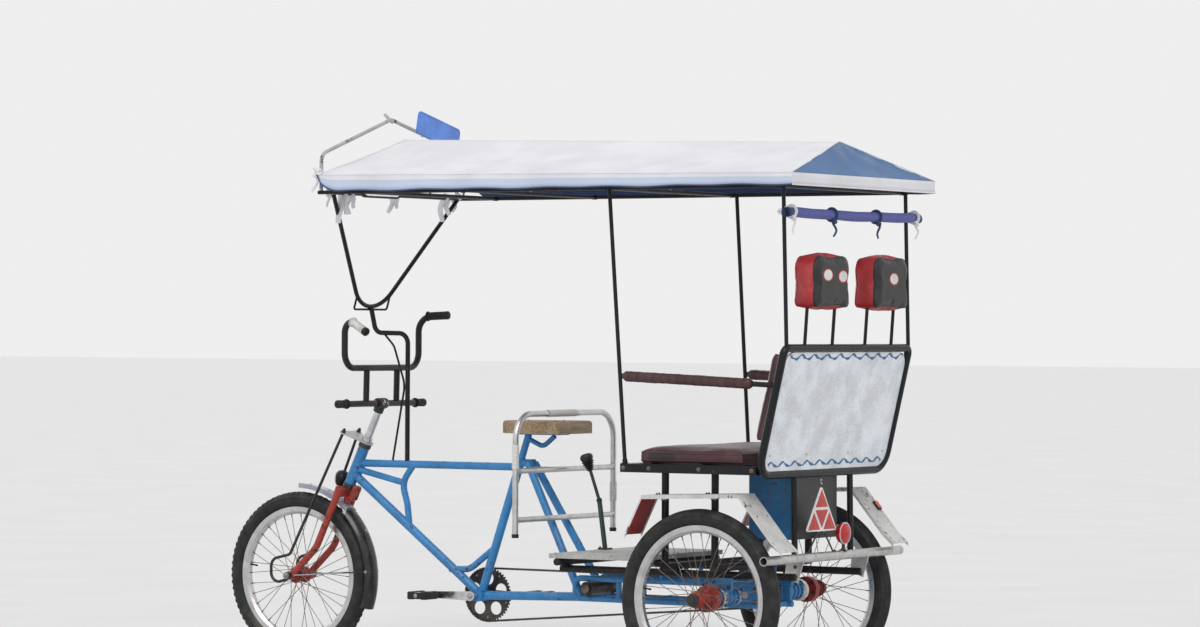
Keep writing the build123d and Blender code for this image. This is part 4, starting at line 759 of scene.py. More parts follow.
# Tyres: moulded cases with ribs, and knobs. Profiles are (radius, half width)
TYRE_SIDE = [(248.6, 14.4), (256.6, 14.5), (260.0, 18.6), (263.6, 21.6), (265.2, 23.4), (266.6, 23.2),
             (270.5, 25.9),
             (277.0, 27.7), (284.0, 28.0), (289.0, 27.5), (290.6, 28.0), (292.2, 27.0), (297.5, 24.6), (302.0,
                                                                                                        21.0)]
FRONT_CROWN = [(305.6, 16.5), (307.8, 11.0), (309.0, 5.0), (309.4, 1.4), (311.4, 1.2)]
REAR_CROWN = [(305.2, 18.0), (306.4, 16.6), (305.4, 16.0), (305.9, 15.2), (308.3, 13.4), (309.2, 10.6),
              (308.0, 10.0),
              (308.4, 8.8), (310.6, 8.0), (311.2, 5.4), (309.9, 4.8), (310.0, 3.8), (312.0, 3.1), (312.0,
                                                                                                   0.8)]
# Knobs in a row: spin across the tyre, near and far edge, length, and the radii of base, near top and far top
FRONT_KNOBS = ((0.0, 14.0, 23.0, 13.0, 301.5, 309.2, 304.4), (0.0016, 2.6, 11.0, 9.0, 307.5, 311.9, 310.6))
REAR_KNOBS = ((0.0, 18.2, 22.4, 4.6, 300.5, 305.8, 303.4),)


def knob(bm, centre, turn, spin, near, far, length, base, top_near, top_far):
    """One block of tread: near and far are its edges across the tyre."""
    corners = []
    middle = (near + far) / 2
    for radius_near, radius_far, grow, squeeze in ((base, base, 1.0, 1.0), (top_near, top_far, 0.72, 0.82)):
        for across, radius in ((near, radius_near), (far, radius_far)):
            for end in (-1, 1):
                angle = turn + end * length * grow / 2 / WHEEL_R + spin * (across - near)
                y = middle + (across - middle) * squeeze
                corners.append(bm.verts.new(centre + around(angle) * (radius * MM) + Y * (y * MM)))
    for face in ((4, 5, 7, 6), (0, 1, 5, 4), (1, 3, 7, 5), (3, 2, 6, 7), (2, 0, 4, 6)):
        bm.faces.new([corners[k] for k in face])


def make_tyre(name, node, body, crown, count, knobs, lag):
    """lag is how far the left side's knobs stand behind the right side's, in half steps."""
    centre = centre_of(node)
    bm = bmesh.new()
    half = TYRE_SIDE + crown
    turned(bm, centre, Y, [(y, radius) for radius, y in half] + [(-y, radius) for radius,
                                                                 y in reversed(half)],
           150, 0, True)
    for k in range(count):
        for side in SIDES:
            turn = tau * k / count + (lag * pi / count if side > 0 else 0)
            for spin, near, far, *sizes in knobs:
                knob(bm, centre, turn, side * spin, side * near, side * far, *sizes)
    tyre = kept(name, bm, [tyre_rubber], body, 30)
    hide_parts(node)


make_tyre("front_tyre_cover", "front_tyre", "front_wheel", FRONT_CROWN, 78, FRONT_KNOBS, 1)
make_tyre("rear_left_tyre_cover", "rear_left_tyre", "rear_left_wheel", REAR_CROWN, 200, REAR_KNOBS, 0)
make_tyre("rear_right_tyre_cover", "rear_right_tyre", "rear_right_wheel", REAR_CROWN, 200, REAR_KNOBS, 0)

SPOKES = 36
SPOKE_SWEEP = 60
RIM_INNER = 229
SPOKE_HOLES_R = 25
VALVE = [(-2, 4.4), (0, 4.2), (3, 3.4), (18, 3.1), (19, 2.4), (20, 2.4), (20.5, 3.6), (28, 3.4), (29, 2.6)]


def make_wheel_fittings(name, node, body, flange_y):
    """Spoke nipples, spoke heads on the flanges, and the valve."""
    centre = centre_of(node)
    bm = bmesh.new()
    step = 720 / SPOKES
    for side in SIDES:
        for index in range(SPOKES // 2):
            leading = index % 2 == 0
            hub_angle = radians(index * step + (0 if side > 0 else step / 2))
            rim_angle = hub_angle + radians(SPOKE_SWEEP if leading else -SPOKE_SWEEP)
            hub_y = side * (flange_y + (3.9 if leading else -2.8))
            rim_y = side * (5 if leading else 1.5)
            at_rim = centre + Vector((RIM_INNER * cos(rim_angle), rim_y, RIM_INNER * sin(rim_angle))) * MM
            at_hub = centre + Vector((SPOKE_HOLES_R * cos(hub_angle), hub_y,
                                      SPOKE_HOLES_R * sin(hub_angle))) * MM
            turned(bm, at_rim, at_hub - at_rim, [(-1, 3.2), (1.5, 3.0), (2.2, 2.1), (12, 1.9), (13, 1.3)], 8)
            turned(bm, at_hub, Y * (side if leading else -side), [(-0.8, 2.2), (0.6, 2.3), (1.6, 1.6)], 8)
    valve = around(0.14)
    turned(bm, centre + valve * (RIM_INNER * MM), -valve, VALVE, 12, 2)
    kept(name, bm, [rusty_steel, rusty_steel, black_rubber], body)


make_wheel_fittings("front_nipples_and_valve", "front_tyre", "front_wheel", 28)
make_wheel_fittings("rear_left_nipples_and_valve", "rear_left_tyre", "rear_left_wheel", 30)
make_wheel_fittings("rear_right_nipples_and_valve", "rear_right_tyre", "rear_right_wheel", 30)


def make_hub_details():
    """Rings on the hub barrels, and domed dark caps on the outer ends of the rear hubs."""
    for node, body, side in (("rear_left_tyre", "rear_left_wheel", 1),
                             ("rear_right_tyre", "rear_right_wheel", -1)):
        centre = centre_of(node)
        out = Y * side
        bm = bmesh.new()
        for along in (-18, -6, 6, 18):
            turned(bm, centre + Y * (along * MM), Y, [(-2.5, 18.8), (-1.5, 20.6), (1.5, 20.6), (2.5, 18.8)],
                   28)
        turned(bm, centre, out, [(30, 26), (37, 27.5), (40, 26.5), (41, 22.5), (50, 22.4)], 30)
        turned(bm, centre, out, [(47, 23.4), (52, 23.6), (56, 22.4), (57.2, 19), (57.4, 12.7), (60.5, 12.4),
                                 (61.2, 9)],
               30, 1)
        for k in range(6):
            bolt(bm, centre + around(pi * k / 3 + 0.3) * (36 * MM) - Y * (side * 63.2 * MM), -out, 8, 1, 4)
        kept(node.replace("tyre", "hub_rings"), bm, [red_enamel, black_steel], body)
    bm = bmesh.new()
    for side in SIDES:
        turned(bm, centre_of("front_tyre"), Y * side, [(30, 17), (33, 17.4), (35, 14.4), (39.5, 13.4)], 26)
    kept("front_hub_rings", bm, [red_enamel], "front_wheel")


make_hub_details()

# Chain: outer and inner links round both toothed wheels
CHAIN_Y = -45
CHAIN_PITCH = 12.7
CHAIN_LINKS = 220
RING_CENTRE = (1165, 265)
RING_PITCH_R = CHAIN_PITCH / (2 * sin(pi / 48))
COG_CENTRE = (0, WHEEL_R)
COG_PITCH_R = CHAIN_PITCH / (2 * sin(pi / 24))
LINK_EDGE = [(-0.3, 0), (-0.2, 0.29), (0, 0.34), (0.2, 0.28), (0.5, 0.2), (0.8, 0.28), (1, 0.34), (1.2, 0.29),
             (1.3, 0)]


def chain_path():
    """Evenly spaced pin places along the chain's tangent loop."""
    dx = RING_CENTRE[0] - COG_CENTRE[0]
    dz = RING_CENTRE[1] - COG_CENTRE[1]
    lean = atan2(dz, dx)
    open_angle = asin((RING_PITCH_R - COG_PITCH_R) / hypot(dx, dz))
    upper = lean + pi / 2 + open_angle
    lower = lean - pi / 2 - open_angle
    line = []
    for centre, radius, start, sweep in ((RING_CENTRE, RING_PITCH_R, lower, upper - lower),
                                         (COG_CENTRE, COG_PITCH_R, upper, 2 * pi - (upper - lower))):
        for k in range(200):
            turn = start + sweep * k / 199
            line.append((centre[0] + radius * cos(turn), centre[1] + radius * sin(turn)))
    line.append(line[0])
    lengths = [0.0]
    for first, second in zip(line, line[1:]):
        lengths.append(lengths[-1] + hypot(second[0] - first[0], second[1] - first[1]))
    pins = []
    index = 0
    for link in range(CHAIN_LINKS):
        reach = lengths[-1] * link / CHAIN_LINKS
        while lengths[index + 1] < reach:
            index += 1
        part = (reach - lengths[index]) / (lengths[index + 1] - lengths[index])
        first, second = line[index], line[index + 1]
        x, z = (a + (b - a) * part for a, b in zip(first, second))
        pins.append(at(x, CHAIN_Y, z))
    return pins


def make_chain():
    bm = bmesh.new()
    pins = chain_path()
    outline = LINK_EDGE + [(a, -b) for a, b in reversed(LINK_EDGE[1:-1])]
    for index, pin in enumerate(pins):
        along = pins[(index + 1) % len(pins)] - pin
        length = along.length
        along.normalize()
        up = along.cross(Y)
        for side in SIDES:
            inner_y = side * (3.9 if index % 2 == 0 else 2.75)
            skin(bm, [[pin + along * (a * length) + up * (b * 12.2 * MM) + Y * (y * MM) for a, b in outline]
                      for y in (inner_y, inner_y + side * 1.0)])
        turned(bm, pin, Y, [(-2.7, 3.9), (2.7, 3.9)], 10)
        turned(bm, pin, Y, [(-5.6, 1.6), (-5.2, 2.1), (5.2, 2.1), (5.6, 1.6)], 8)
    chain = kept("chain_links", bm, [greasy_steel])
    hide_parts("chain")


make_chain()


# Padded pieces
CLOTH_FRAMES = 20
PRESSURE = 4.0


def block(bm, corners, bend):
    """A box between eight corners, the lower four first, with rounded edges."""
    points = [bm.verts.new(corner) for corner in corners]
    for face in ((0, 3, 2, 1), (4, 5, 6, 7), (0, 1, 5, 4), (1, 2, 6, 5), (2, 3, 7, 6), (3, 0, 4, 7)):
        bm.faces.new([points[k] for k in face])
    bmesh.ops.bevel(bm, geom=bm.edges[:], offset=bend, segments=4, affect="EDGES", profile=0.6)


def stuffed(name, bm, finishes, cap, voxel, place, direction):
    """A pad under a cover: its skin is blown up by a cloth simulation. No point moves further than cap, and
    it stays flat against the place that the direction points past."""
    mesh = bpy.data.meshes.new(name)
    bmesh.ops.recalc_face_normals(bm, faces=bm.faces)
    bm.to_mesh(mesh)
    bm.free()
    blank = linked(name + "_blank", mesh)
    remesh = blank.modifiers.new("skin", "REMESH")
    remesh.mode = "VOXEL"
    remesh.voxel_size = voxel
    mesh = evaluated(blank)
    blank.modifiers.clear()
    blank.data = mesh
    start = [vertex.co.copy() for vertex in mesh.vertices]
    cloth_skin = blank.modifiers.new("cloth", "CLOTH")
    cloth_skin.settings.use_pressure = True
    cloth_skin.settings.uniform_pressure_force = PRESSURE
    cloth_skin.settings.effector_weights.gravity = 0
    cloth_skin.settings.quality = 5
    cloth_skin.point_cache.frame_end = CLOTH_FRAMES
    for frame_number in range(1, CLOTH_FRAMES + 1):
        bpy.context.scene.frame_set(frame_number)
    mesh = evaluated(blank)
    blank.modifiers.clear()
    bpy.context.scene.frame_set(1)
    for vertex, first in zip(mesh.vertices, start):
        move = vertex.co - first
        if move.length > cap:
            vertex.co = first + move * (cap / move.length)
        past = (vertex.co - place).dot(direction)
        if past > 0:
            vertex.co -= direction * past
    blank.data = mesh
    smooth = blank.modifiers.new("smooth", "SUBSURF")
    smooth.levels = 1
    smooth.render_levels = 1
    final = evaluated(blank)
    bpy.data.objects.remove(blank)
    final.materials.clear()
    for finish in finishes:
        final.materials.append(finish)
    final.shade_smooth()
    piece = linked(name, final)
    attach(piece, "chassis")
    return piece


def on_skin(piece, points):
    """The points, moved to the nearest place on a piece."""
    return [piece.closest_point_on_mesh(point)[1] for point in points]


def loop_round(middle, aside, over, half_aside, half_over, corner):
    """The points of a rounded rectangle, close enough together to lie on a curved skin."""
    steps = 9
    points = []
    for turn, sa, so in ((0, 1, 1), (90, -1, 1), (180, -1, -1), (270, 1, -1)):
        centre = middle + aside * (sa * (half_aside - corner)) + over * (so * (half_over - corner))
        for k in range(steps + 1):
            angle = radians(turn + 90 * k / steps)
            points.append(centre + (aside * cos(angle) + over * sin(angle)) * corner)
    dense = []
    for first, second in zip(points, points[1:] + points[:1]):
        parts = max(1, int((second - first).length / 0.012))
        dense += [first.lerp(second, k / parts) for k in range(parts)]
    return dense


def stitched(bm, points):
    """A row of stitches along the points."""
    length = 0.0055
    gap = 0.0035
    reach = 0.0
    for first, second in zip(points, points[1:]):
        run = second - first
        while reach < run.length:
            start = first + run.normalized() * reach
            end = start + run.normalized() * length
            swept(bm, [start, start.lerp(end, 0.5), end], circle(0.0006, 5))
            reach += length + gap
        reach -= run.length


SEAT_TOP_Z = 775.3
SEAT_X = 34
SEAT_HALF_WIDTH = 430
SEAT_HALF_DEPTH = 220


def make_seat_cushion():
    bm = bmesh.new()
    inset = 7
    corners = [at(SEAT_X + a * (SEAT_HALF_DEPTH - inset), b * (SEAT_HALF_WIDTH - inset), SEAT_TOP_Z + 1)
               for a, b in SQUARE]
    corners += [corner + Z * (45 * MM) for corner in corners]
    block(bm, corners, 0.014)
    cushion = stuffed("seat_cushion_cover", bm, [maroon_vinyl, maroon_patch], 0.012, 0.0085,
                      at(0, 0, SEAT_TOP_Z), -Z)
    mesh = cushion.data
    for vertex in mesh.vertices:
        x = (vertex.co.x - at(SEAT_X, 0, 0).x) / 0.22
        y = vertex.co.y / 0.43
        rise = max(0.0, (vertex.co.z - SEAT_TOP_Z * MM) / 0.054)
        crown = max(0.0, 1 - x * x) * max(0.0, 1 - y ** 4)
        waves = bumpy(vertex.co, 9.0) * 0.0022 + bumpy(vertex.co, 26.0, 4) * 0.0007
        vertex.co.z += min(1.0, rise) * (0.007 * crown + waves)
    for polygon in mesh.polygons:
        middle = polygon.center
        if middle.y > 0.41 and abs(middle.x - at(150, 0, 0).x) < 0.055:
            polygon.material_index = 1
    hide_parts("seat_cushion")
    bm = bmesh.new()
    for lift, shrink in ((44, 4), (7, 2)):
        path = loop_round(at(SEAT_X, 0, SEAT_TOP_Z + lift), X, Y, (SEAT_HALF_DEPTH - shrink) * MM,
                          (SEAT_HALF_WIDTH - shrink) * MM, 0.02)
        swept(bm, on_skin(cushion, path), circle(0.0026, 8), 0, True)
    kept("seat_cushion_piping", bm, [maroon_vinyl])
    bm = bmesh.new()
    stitched(bm, on_skin(cushion, loop_round(at(SEAT_X, 0, SEAT_TOP_Z + 54), X, Y, 207 * MM, 417 * MM,
                                             0.018)))
    kept("seat_cushion_stitches", bm, [black_rubber])


BACK_FOOT = at(-254, 0, 744)
BACK_HEAD = at(-355, 0, 1178)
BACK_UP = (BACK_HEAD - BACK_FOOT).normalized()
BACK_LENGTH = (BACK_HEAD - BACK_FOOT).length / MM
BACK_AHEAD = Vector((BACK_UP.z, 0, -BACK_UP.x))


def on_back(y, up, ahead=0.0):
    """A place on the backrest in millimetres: across, up its slope, and ahead of its tubes' middle."""
    return BACK_FOOT + BACK_UP * (up * MM) + BACK_AHEAD * (ahead * MM) + Y * (y * MM)


PAD_BOTTOM = 100
PAD_TOP = BACK_LENGTH - 24
PAD_MIDDLE = (PAD_BOTTOM + PAD_TOP) / 2
PAD_HALF_WIDTH = 425
PAD_CHANNEL_Y = 142


def make_backrest_pad():
    bm = bmesh.new()
    inset = 6
    half = PAD_HALF_WIDTH - inset
    low = [on_back(y, up, 6) for y, up in ((-half, PAD_BOTTOM + inset), (half, PAD_BOTTOM + inset),
                                           (half, PAD_TOP - inset), (-half, PAD_TOP - inset))]
    block(bm, low + [corner + BACK_AHEAD * (60 * MM) for corner in low], 0.018)
    pad = stuffed("backrest_pad_cover", bm, [maroon_vinyl], 0.012, 0.0085, on_back(0, 0, 4.6), -BACK_AHEAD)
    middle = on_back(0, PAD_MIDDLE)
    for vertex in pad.data.vertices:
        local = vertex.co - middle
        y = local.y / 0.425
        up = local.dot(BACK_UP) / 0.161
        ahead = (local.dot(BACK_AHEAD) - 0.004) / 0.066
        if ahead > 0.25:
            crown = max(0.0, 1 - y ** 4) * max(0.0, 1 - up * up)
            # Two sewn channels split the pad in three along its width
            channel = sum(exp(-((local.y - side * PAD_CHANNEL_Y * MM) / 0.012) ** 2) for side in SIDES)
            channel *= max(0.0, 1 - up ** 8)
            waves = bumpy(vertex.co, 10.0, 2) * 0.002 + bumpy(vertex.co, 30.0, 5) * 0.0006
            vertex.co += BACK_AHEAD * (min(1.0, ahead) * (0.006 * crown - 0.012 * channel + waves))
    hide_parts("backrest_pad")
    bm = bmesh.new()
    for ahead, shrink in ((60, 5), (8, 3)):
        path = loop_round(on_back(0, PAD_MIDDLE, ahead), Y, BACK_UP, (PAD_HALF_WIDTH - shrink) * MM,
                          ((PAD_TOP - PAD_BOTTOM) / 2 - shrink) * MM, 0.024)
        swept(bm, on_skin(pad, path), circle(0.0026, 8), 0, True)
    kept("backrest_pad_piping", bm, [maroon_vinyl])
    bm = bmesh.new()
    for side in SIDES:
        path = [on_back(side * PAD_CHANNEL_Y, PAD_BOTTOM + 12 + k * 6, 70)
                for k in range(int((PAD_TOP - PAD_BOTTOM - 24) / 6))]
        stitched(bm, [place + BACK_AHEAD * 0.0004 for place in on_skin(pad, path)])
    kept("backrest_pad_stitches", bm, [black_rubber])


def make_headrests():
    low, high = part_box("headrests")
    middle_z = (low.z + high.z) / 2
    inset = 0.006
    half = 0.131 - inset
    outline = []
    for cx, cz, turn, corner in ((half, high.z - inset, 0, 0.046), (-half, high.z - inset, 90, 0.046),
                                 (-half, low.z + inset, 180, 0.022), (half, low.z + inset, 270, 0.022)):
        sx = 1 if cx > 0 else -1
        sz = -1 if turn < 180 else 1
        for k in range(7):
            angle = radians(turn + 15 * k)
            outline.append((cx - sx * corner + corner * cos(angle), cz + sz * corner + corner * sin(angle)))
    depths = ((low.x + 0.006, 0.9), (low.x + 0.012, 0.97), (high.x - 0.016, 0.97), (high.x - 0.007, 0.88))
    for side, word in ((1, "left"), (-1, "right")):
        middle_y = side * 215 * MM
        bm = bmesh.new()
        skin(bm, [[Vector((depth, middle_y + a * shrink, middle_z + (b - middle_z) * shrink)) for a,
                   b in outline]
                  for depth, shrink in depths])
        rest = stuffed(f"headrest_{word}_cover", bm, [headrest_vinyl], 0.010, 0.006,
                       Vector((low.x + 0.001, 0, 0)), -X)
        for vertex in rest.data.vertices:
            vertex.co += Vector((bumpy(vertex.co, 14.0, side) * 0.0015, 0,
                                 bumpy(vertex.co, 22.0, 3) * 0.0008))
        if side > 0:
            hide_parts("headrests")
        bm = bmesh.new()
        middle = Vector((low.x + 0.006, middle_y, middle_z))
        for depth in (0.004, high.x - low.x - 0.016):
            path = loop_round(middle + X * depth, Y, Z, 0.125, (high.z - low.z) / 2 - inset, 0.04)
            swept(bm, on_skin(rest, path), circle(0.0024, 8), 0, True)
        kept(f"headrest_{word}_piping", bm, [headrest_vinyl])
        # Blank ovals painted on the rear face
        bm = bmesh.new()
        for across, up in (((-58, 18), (48, 22)) if side > 0 else ((0, 14),)):
            for grow, finish, lift in ((1.0, 0, 0.0004), (0.84, 1, 0.0008)):
                rings = []
                for shrink in (1.0, 0.985, 0.5, 0.02):
                    wide, tall = 34 * grow * shrink, 22 * grow * shrink
                    ring = looped(36, lambda turn: middle + Y * ((across + wide * cos(turn)) * MM)
                                  + Z * ((up + tall * sin(turn)) * MM) - X * 0.02)
                    raised = lift if shrink < 1 else 0
                    rings.append([place - X * raised for place in on_skin(rest, ring)])
                skin(bm, rings, finish, False, False)
        kept(f"headrest_{word}_ovals", bm, [red_enamel_sign, oval_white])


def make_armrests():
    """Sleeves of padded vinyl round the armrest rods, laced underneath."""
    rear = on_back(0, (1052 - 744) / BACK_UP.z)
    front = at(307, 0, 1078)
    for side, word in ((1, "left"), (-1, "right")):
        start = rear + Y * (side * 450 * MM)
        end = front + Y * (side * 434 * MM)
        run = (end - start).normalized()
        start = start + run * 0.096
        end = end - run * 0.014
        length = (end - start).length
        over = run.cross(Y).normalized()
        aside = run.cross(over).normalized()

        def ring_at(t):
            point = start.lerp(end, t)
            grow = min(1.0, min(t, 1 - t) * length / 0.012) ** 0.4 if 0 < t < 1 else 0.55
            ring = []
            for a in range(26):
                turn = tau * a / 26
                radius = 0.0178 * grow + 0.0016 * bumpy(point + aside * cos(turn) * 0.1, 22.0,
                                                        a * 0.07) * grow
                radius *= 1 + 0.06 * abs(cos(turn))
                ring.append(point + (aside * cos(turn) + over * sin(turn)) * radius)
            return ring

        bm = bmesh.new()
        skin(bm, stepped(44, ring_at))
        sleeve = kept(f"armrest_{word}_sleeve", bm, [maroon_vinyl], "chassis", 60)
        if side > 0:
            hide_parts("armrest_pads")
        bm = bmesh.new()
        for k in range(15):
            point = start.lerp(end, 0.06 + 0.88 * k / 14)
            ring = looped(24, lambda turn: point + (aside * cos(turn) + over * sin(turn)) * 0.0175)
            loop = on_skin(sleeve, ring)
            swept(bm, [place + (place - point).normalized() * 0.0002 for place in loop], circle(0.0008, 5), 0,
                  True)
        kept(f"armrest_{word}_lacing", bm, [black_rubber])


make_seat_cushion()
make_backrest_pad()
make_headrests()
make_armrests()


# Canopy: one sheet stretched over the ridge, with a hem round it
RIDGE_REAR = (-315, 4, 1895)
RIDGE_FRONT = (1509, 4, 1936)
REAR_CORNER = (-420, 520, 1771)
FRONT_TIP = (1545, 512, 1790)
HEM_Z = 1731
HEM_FRONT = 1456
HEM_ROWS = 3
ALONG = 112
DOWN = 20
ACROSS = 40


def mirrored(place, side):
    return at(place[0], place[1] * side, place[2])


def eave_place(side, u):
    return mirrored(REAR_CORNER, side).lerp(mirrored(FRONT_TIP, side), u)


def sheet_place(side, u, v):
    """u runs from the rear to the front, and v from the ridge to the top of the hem."""
    ridge = mirrored(RIDGE_REAR, side).lerp(mirrored(RIDGE_FRONT, side), u)
    place = ridge.lerp(eave_place(side, u), v)
    slack = sin(pi * v) ** 0.9 * (0.35 + 0.65 * sin(pi * min(1.0, max(0.0, u))) ** 0.5)
    folds = 0.5 + 0.5 * sin(34 * u + 3.0 * v + side) * sin(9 * u + 1.3)
    pull = exp(-((1 - u) * 3.2) ** 2 - ((1 - v) * 1.7) ** 2) * sin(17 * (v - 0.6 * u) + side)
    near = exp(-(u * 5.0) ** 2 - ((1 - v) * 1.8) ** 2) * sin(15 * (v + 0.7 * u))
    depth = 0.010 * slack + 0.0022 * slack * folds + slack * (0.003 * pull + 0.003 * near)
    depth += 0.0016 * slack * bumpy(place, 5.0, side)
    return place + Vector((0, -side * 0.28, -0.96)) * depth


def hip_place(w, v):
    """The rear slope: w runs across it from -1 to 1."""
    top = at(RIDGE_REAR[0], w * RIDGE_REAR[1], RIDGE_REAR[2])
    slack = sin(pi * v) * (1 - w * w)
    sag = Vector((0.006, 0, -0.004)) * slack * (1 + 0.4 * sin(9 * w + 4 * v))
    return top.lerp(mirrored(REAR_CORNER, w), v) + sag


def hem_drop(u):
    """How far the hem hangs at u, in millimetres: it ends in a rounded point in front."""
    full = REAR_CORNER[2] + (FRONT_TIP[2] - REAR_CORNER[2]) * u - HEM_Z
    ends_at = (HEM_FRONT - REAR_CORNER[0]) / (FRONT_TIP[0] - REAR_CORNER[0])
    if u > ends_at:
        full *= sqrt(max(0.0, 1 - ((u - ends_at) / (1 - ends_at)) ** 1.6))
    return full + 1.6 * sin(47 * u) + 1.1 * sin(23 * u + 1)


def hem_place(side, u, part):
    """A place on the side hem, from its top at 0 to its edge at 1."""
    flutter = side * (1.8 * sin(31 * u + 2) + 1.2 * sin(70 * u)) * part
    return eave_place(side, u) + Vector((0, flutter * MM, -hem_drop(u) * part * MM))


def rear_hem_place(w, part):
    edge = mirrored(REAR_CORNER, w)
    return edge + Vector((-1.5 * sin(14 * w) * part * MM, 0, -hem_drop(0) * part * MM))


def make_canopy():
    bm = bmesh.new()

    def placed(count, place):
        return [bm.verts.new(point) for point in stepped(count, place)]

    ridges = []
    hem_parts = [j / HEM_ROWS for j in range(1, HEM_ROWS + 1)]
    for side in SIDES:
        rows = [placed(ALONG, lambda u: sheet_place(side, u, j / DOWN)) for j in range(DOWN + 1)]
        ridges.append(rows[0])
        rows += [placed(ALONG, lambda u: hem_place(side, u, part)) for part in hem_parts]
        grid(bm, rows, lambda j: 1 if j > DOWN else 0, side > 0)
    hip = [placed(ACROSS, lambda t: hip_place(-1 + 2 * t, j / DOWN)) for j in range(DOWN + 1)]
    hip += [placed(ACROSS, lambda t: rear_hem_place(-1 + 2 * t, part)) for part in hem_parts]
    for j, (first, second) in enumerate(zip(hip, hip[1:])):
        for i in range(ACROSS):
            face = bm.faces.new((first[i], second[i], second[i + 1], first[i + 1]))
            # The rear slope is the same white cloth; its blue, on both faces, is painted shade
            face.material_index = 3 if j >= DOWN else 2
    grid(bm, ridges, lambda j: 0)
    bmesh.ops.remove_doubles(bm, verts=bm.verts, dist=0.0045)
    sheet_area = sum(face.calc_area() for face in bm.faces)
    # The first four finishes are seen from above, and the last four in the same order from below. Below, the
    # lilac under the white sheet and the navy inside the side hem are painted shade
    canopy = kept("canopy_sheet", bm, [white_canvas, pale_blue_hem, blue_canvas_and_shade, white_canvas,
                                       canopy_underside_shade, navy_cloth_and_shade, blue_canvas_and_shade, white_canvas], "chassis", 50)
    thick = canopy.modifiers.new("thickness", "SOLIDIFY")
    thick.thickness = 0.0016
    thick.offset = -1
    thick.material_offset = 4
    bm = bmesh.new()
    for side in SIDES:
        swept(bm, stepped(ALONG, lambda u: hem_place(side, u, 1)), circle(0.0026, 8), 0)
        swept(bm, stepped(30, lambda v: sheet_place(side, 1.0, v)), circle(0.0034, 8), 1)
        swept(bm, stepped(ALONG, lambda u: sheet_place(side, u, 0.018) + Z * 0.0006), circle(0.0013, 6), 1)
        swept(bm, stepped(ALONG, lambda u: sheet_place(side, u, 1.0) + Y * (side * 0.0004)),
              circle(0.0015, 6), 1)
        swept(bm, stepped(30, lambda v: hip_place(side, v) + Vector((-0.0004, 0, 0.0008))), circle(0.002, 6),
              1)
    rear = stepped(ACROSS, lambda t: hip_place(-1 + 2 * t, 1.0) + Z * (-hem_drop(0) * MM))
    swept(bm, rear, circle(0.0026, 8), 1)
    hem = kept("canopy_hem", bm, [navy_cloth_and_shade, white_canvas])
    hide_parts("canopy")


def knot(bm, place, size, finish=0, lean=0.0):
    """A pulled-tight knot: a trefoil of soft cord with two short ends."""
    def lace(t):
        across = (sin(t) + 2 * sin(2 * t)) / 3
        up = (cos(t) - 2 * cos(2 * t)) / 3
        deep = -sin(3 * t) / 2.2
        return place + Vector((deep * size * 0.5, across * size * 0.55,
                               up * size * 0.5 + lean * across * size))

    swept(bm, looped(60, lace), lambda t: circle(size * 0.17 * (1 + 0.15 * sin(t * 37)), 10), finish, True)


def tail(bm, start, fall, width, finish=0, seed=0.0, drift=(0, 0)):
    """The loose end of a strap, hanging with a curl."""
    points = stepped(15, lambda t: start + Vector((drift[0] * t + 0.006 * sin(5 * t + seed),
                                                   drift[1] * t + 0.005 * sin(4 * t + 2 * seed), -fall * t)))
    swept(bm, points, lambda t: flat_band(width * (1 - 0.25 * t * t), 0.0022), finish, False, Y)


def make_canopy_ties():
    """Pointed straps from the front corners round the gable's legs, and knots on the strut's ends."""
    bm = bmesh.new()
    for side in SIDES:
        tip = mirrored(FRONT_TIP, side)
        leg = at(1577, side * 441, 1800)
        strap = stepped(14, lambda t: tip.lerp(leg, t) + Z * (0.004 * sin(pi * t)))
        swept(bm, strap, lambda t: flat_band(0.034 * (1 - t) ** 1.4 + 0.011, 0.0026), 0, False,
              Vector((0.2, side * 0.3, 1)))
        for lift in (-4, 5):
            ring = looped(24, lambda turn: leg + Vector((9.4 * cos(turn), 9.4 * sin(turn),
                                                         lift + 1.5 * sin(turn))) * MM)
            swept(bm, ring, flat_band(0.008, 0.0032), 0, True, Z)
        knot(bm, leg + Vector((0.004, side * 0.015, 0)), 0.034, 0, 0.2)
        tail(bm, leg + Vector((0.004, side * 0.016, -0.008)), 0.062, 0.012, 0, 1.0 + side,
             (0.012, side * 0.012))
        tail(bm, leg + Vector((-0.002, side * 0.012, -0.008)), 0.048, 0.011, 1, 2.0 + side,
             (-0.014, side * 0.004))
        top = at(1548, side * 407, 1735)
        for lift in (-6, 1, 7):
            ring = looped(22, lambda turn: top + Vector((10 * cos(turn), lift + 1.5 * cos(turn),
                                                         10.4 * sin(turn))) * MM)
            swept(bm, ring, flat_band(0.0065, 0.003), 0, True, Y)
        knot(bm, top + Vector((0.014, 0, -0.004)), 0.03, 0, -0.2)
        tail(bm, top + Vector((0.014, 0.003, -0.012)), 0.045, 0.011, 0, 3.0 + side, (0.006, side * 0.006))
    # Strips of the canopy's cloth tied over the front cross tube
    for place_y, fall, width in ((345, 0.105, 0.03), (300, 0.07, 0.024), (-318, 0.085, 0.026),
                                 (22, 0.06, 0.022)):
        over = at(1548, place_y, 1729)
        ring = looped(22, lambda turn: over + Vector((8.8 * cos(turn), 0, 8.8 * sin(turn))) * MM)
        swept(bm, ring, flat_band(width * 0.8, 0.003), 0, True, Y)
        tail(bm, over + Vector((0.009, 0, -0.004)), fall, width, 0, place_y * 0.1, (0.004, 0.006))
        tail(bm, over + Vector((-0.009, 0, -0.004)), fall * 0.7, width * 0.9, 0, place_y * 0.2,
             (-0.006, -0.004))
    ties = kept("canopy_ties", bm, [white_canvas, blue_canvas_and_shade])


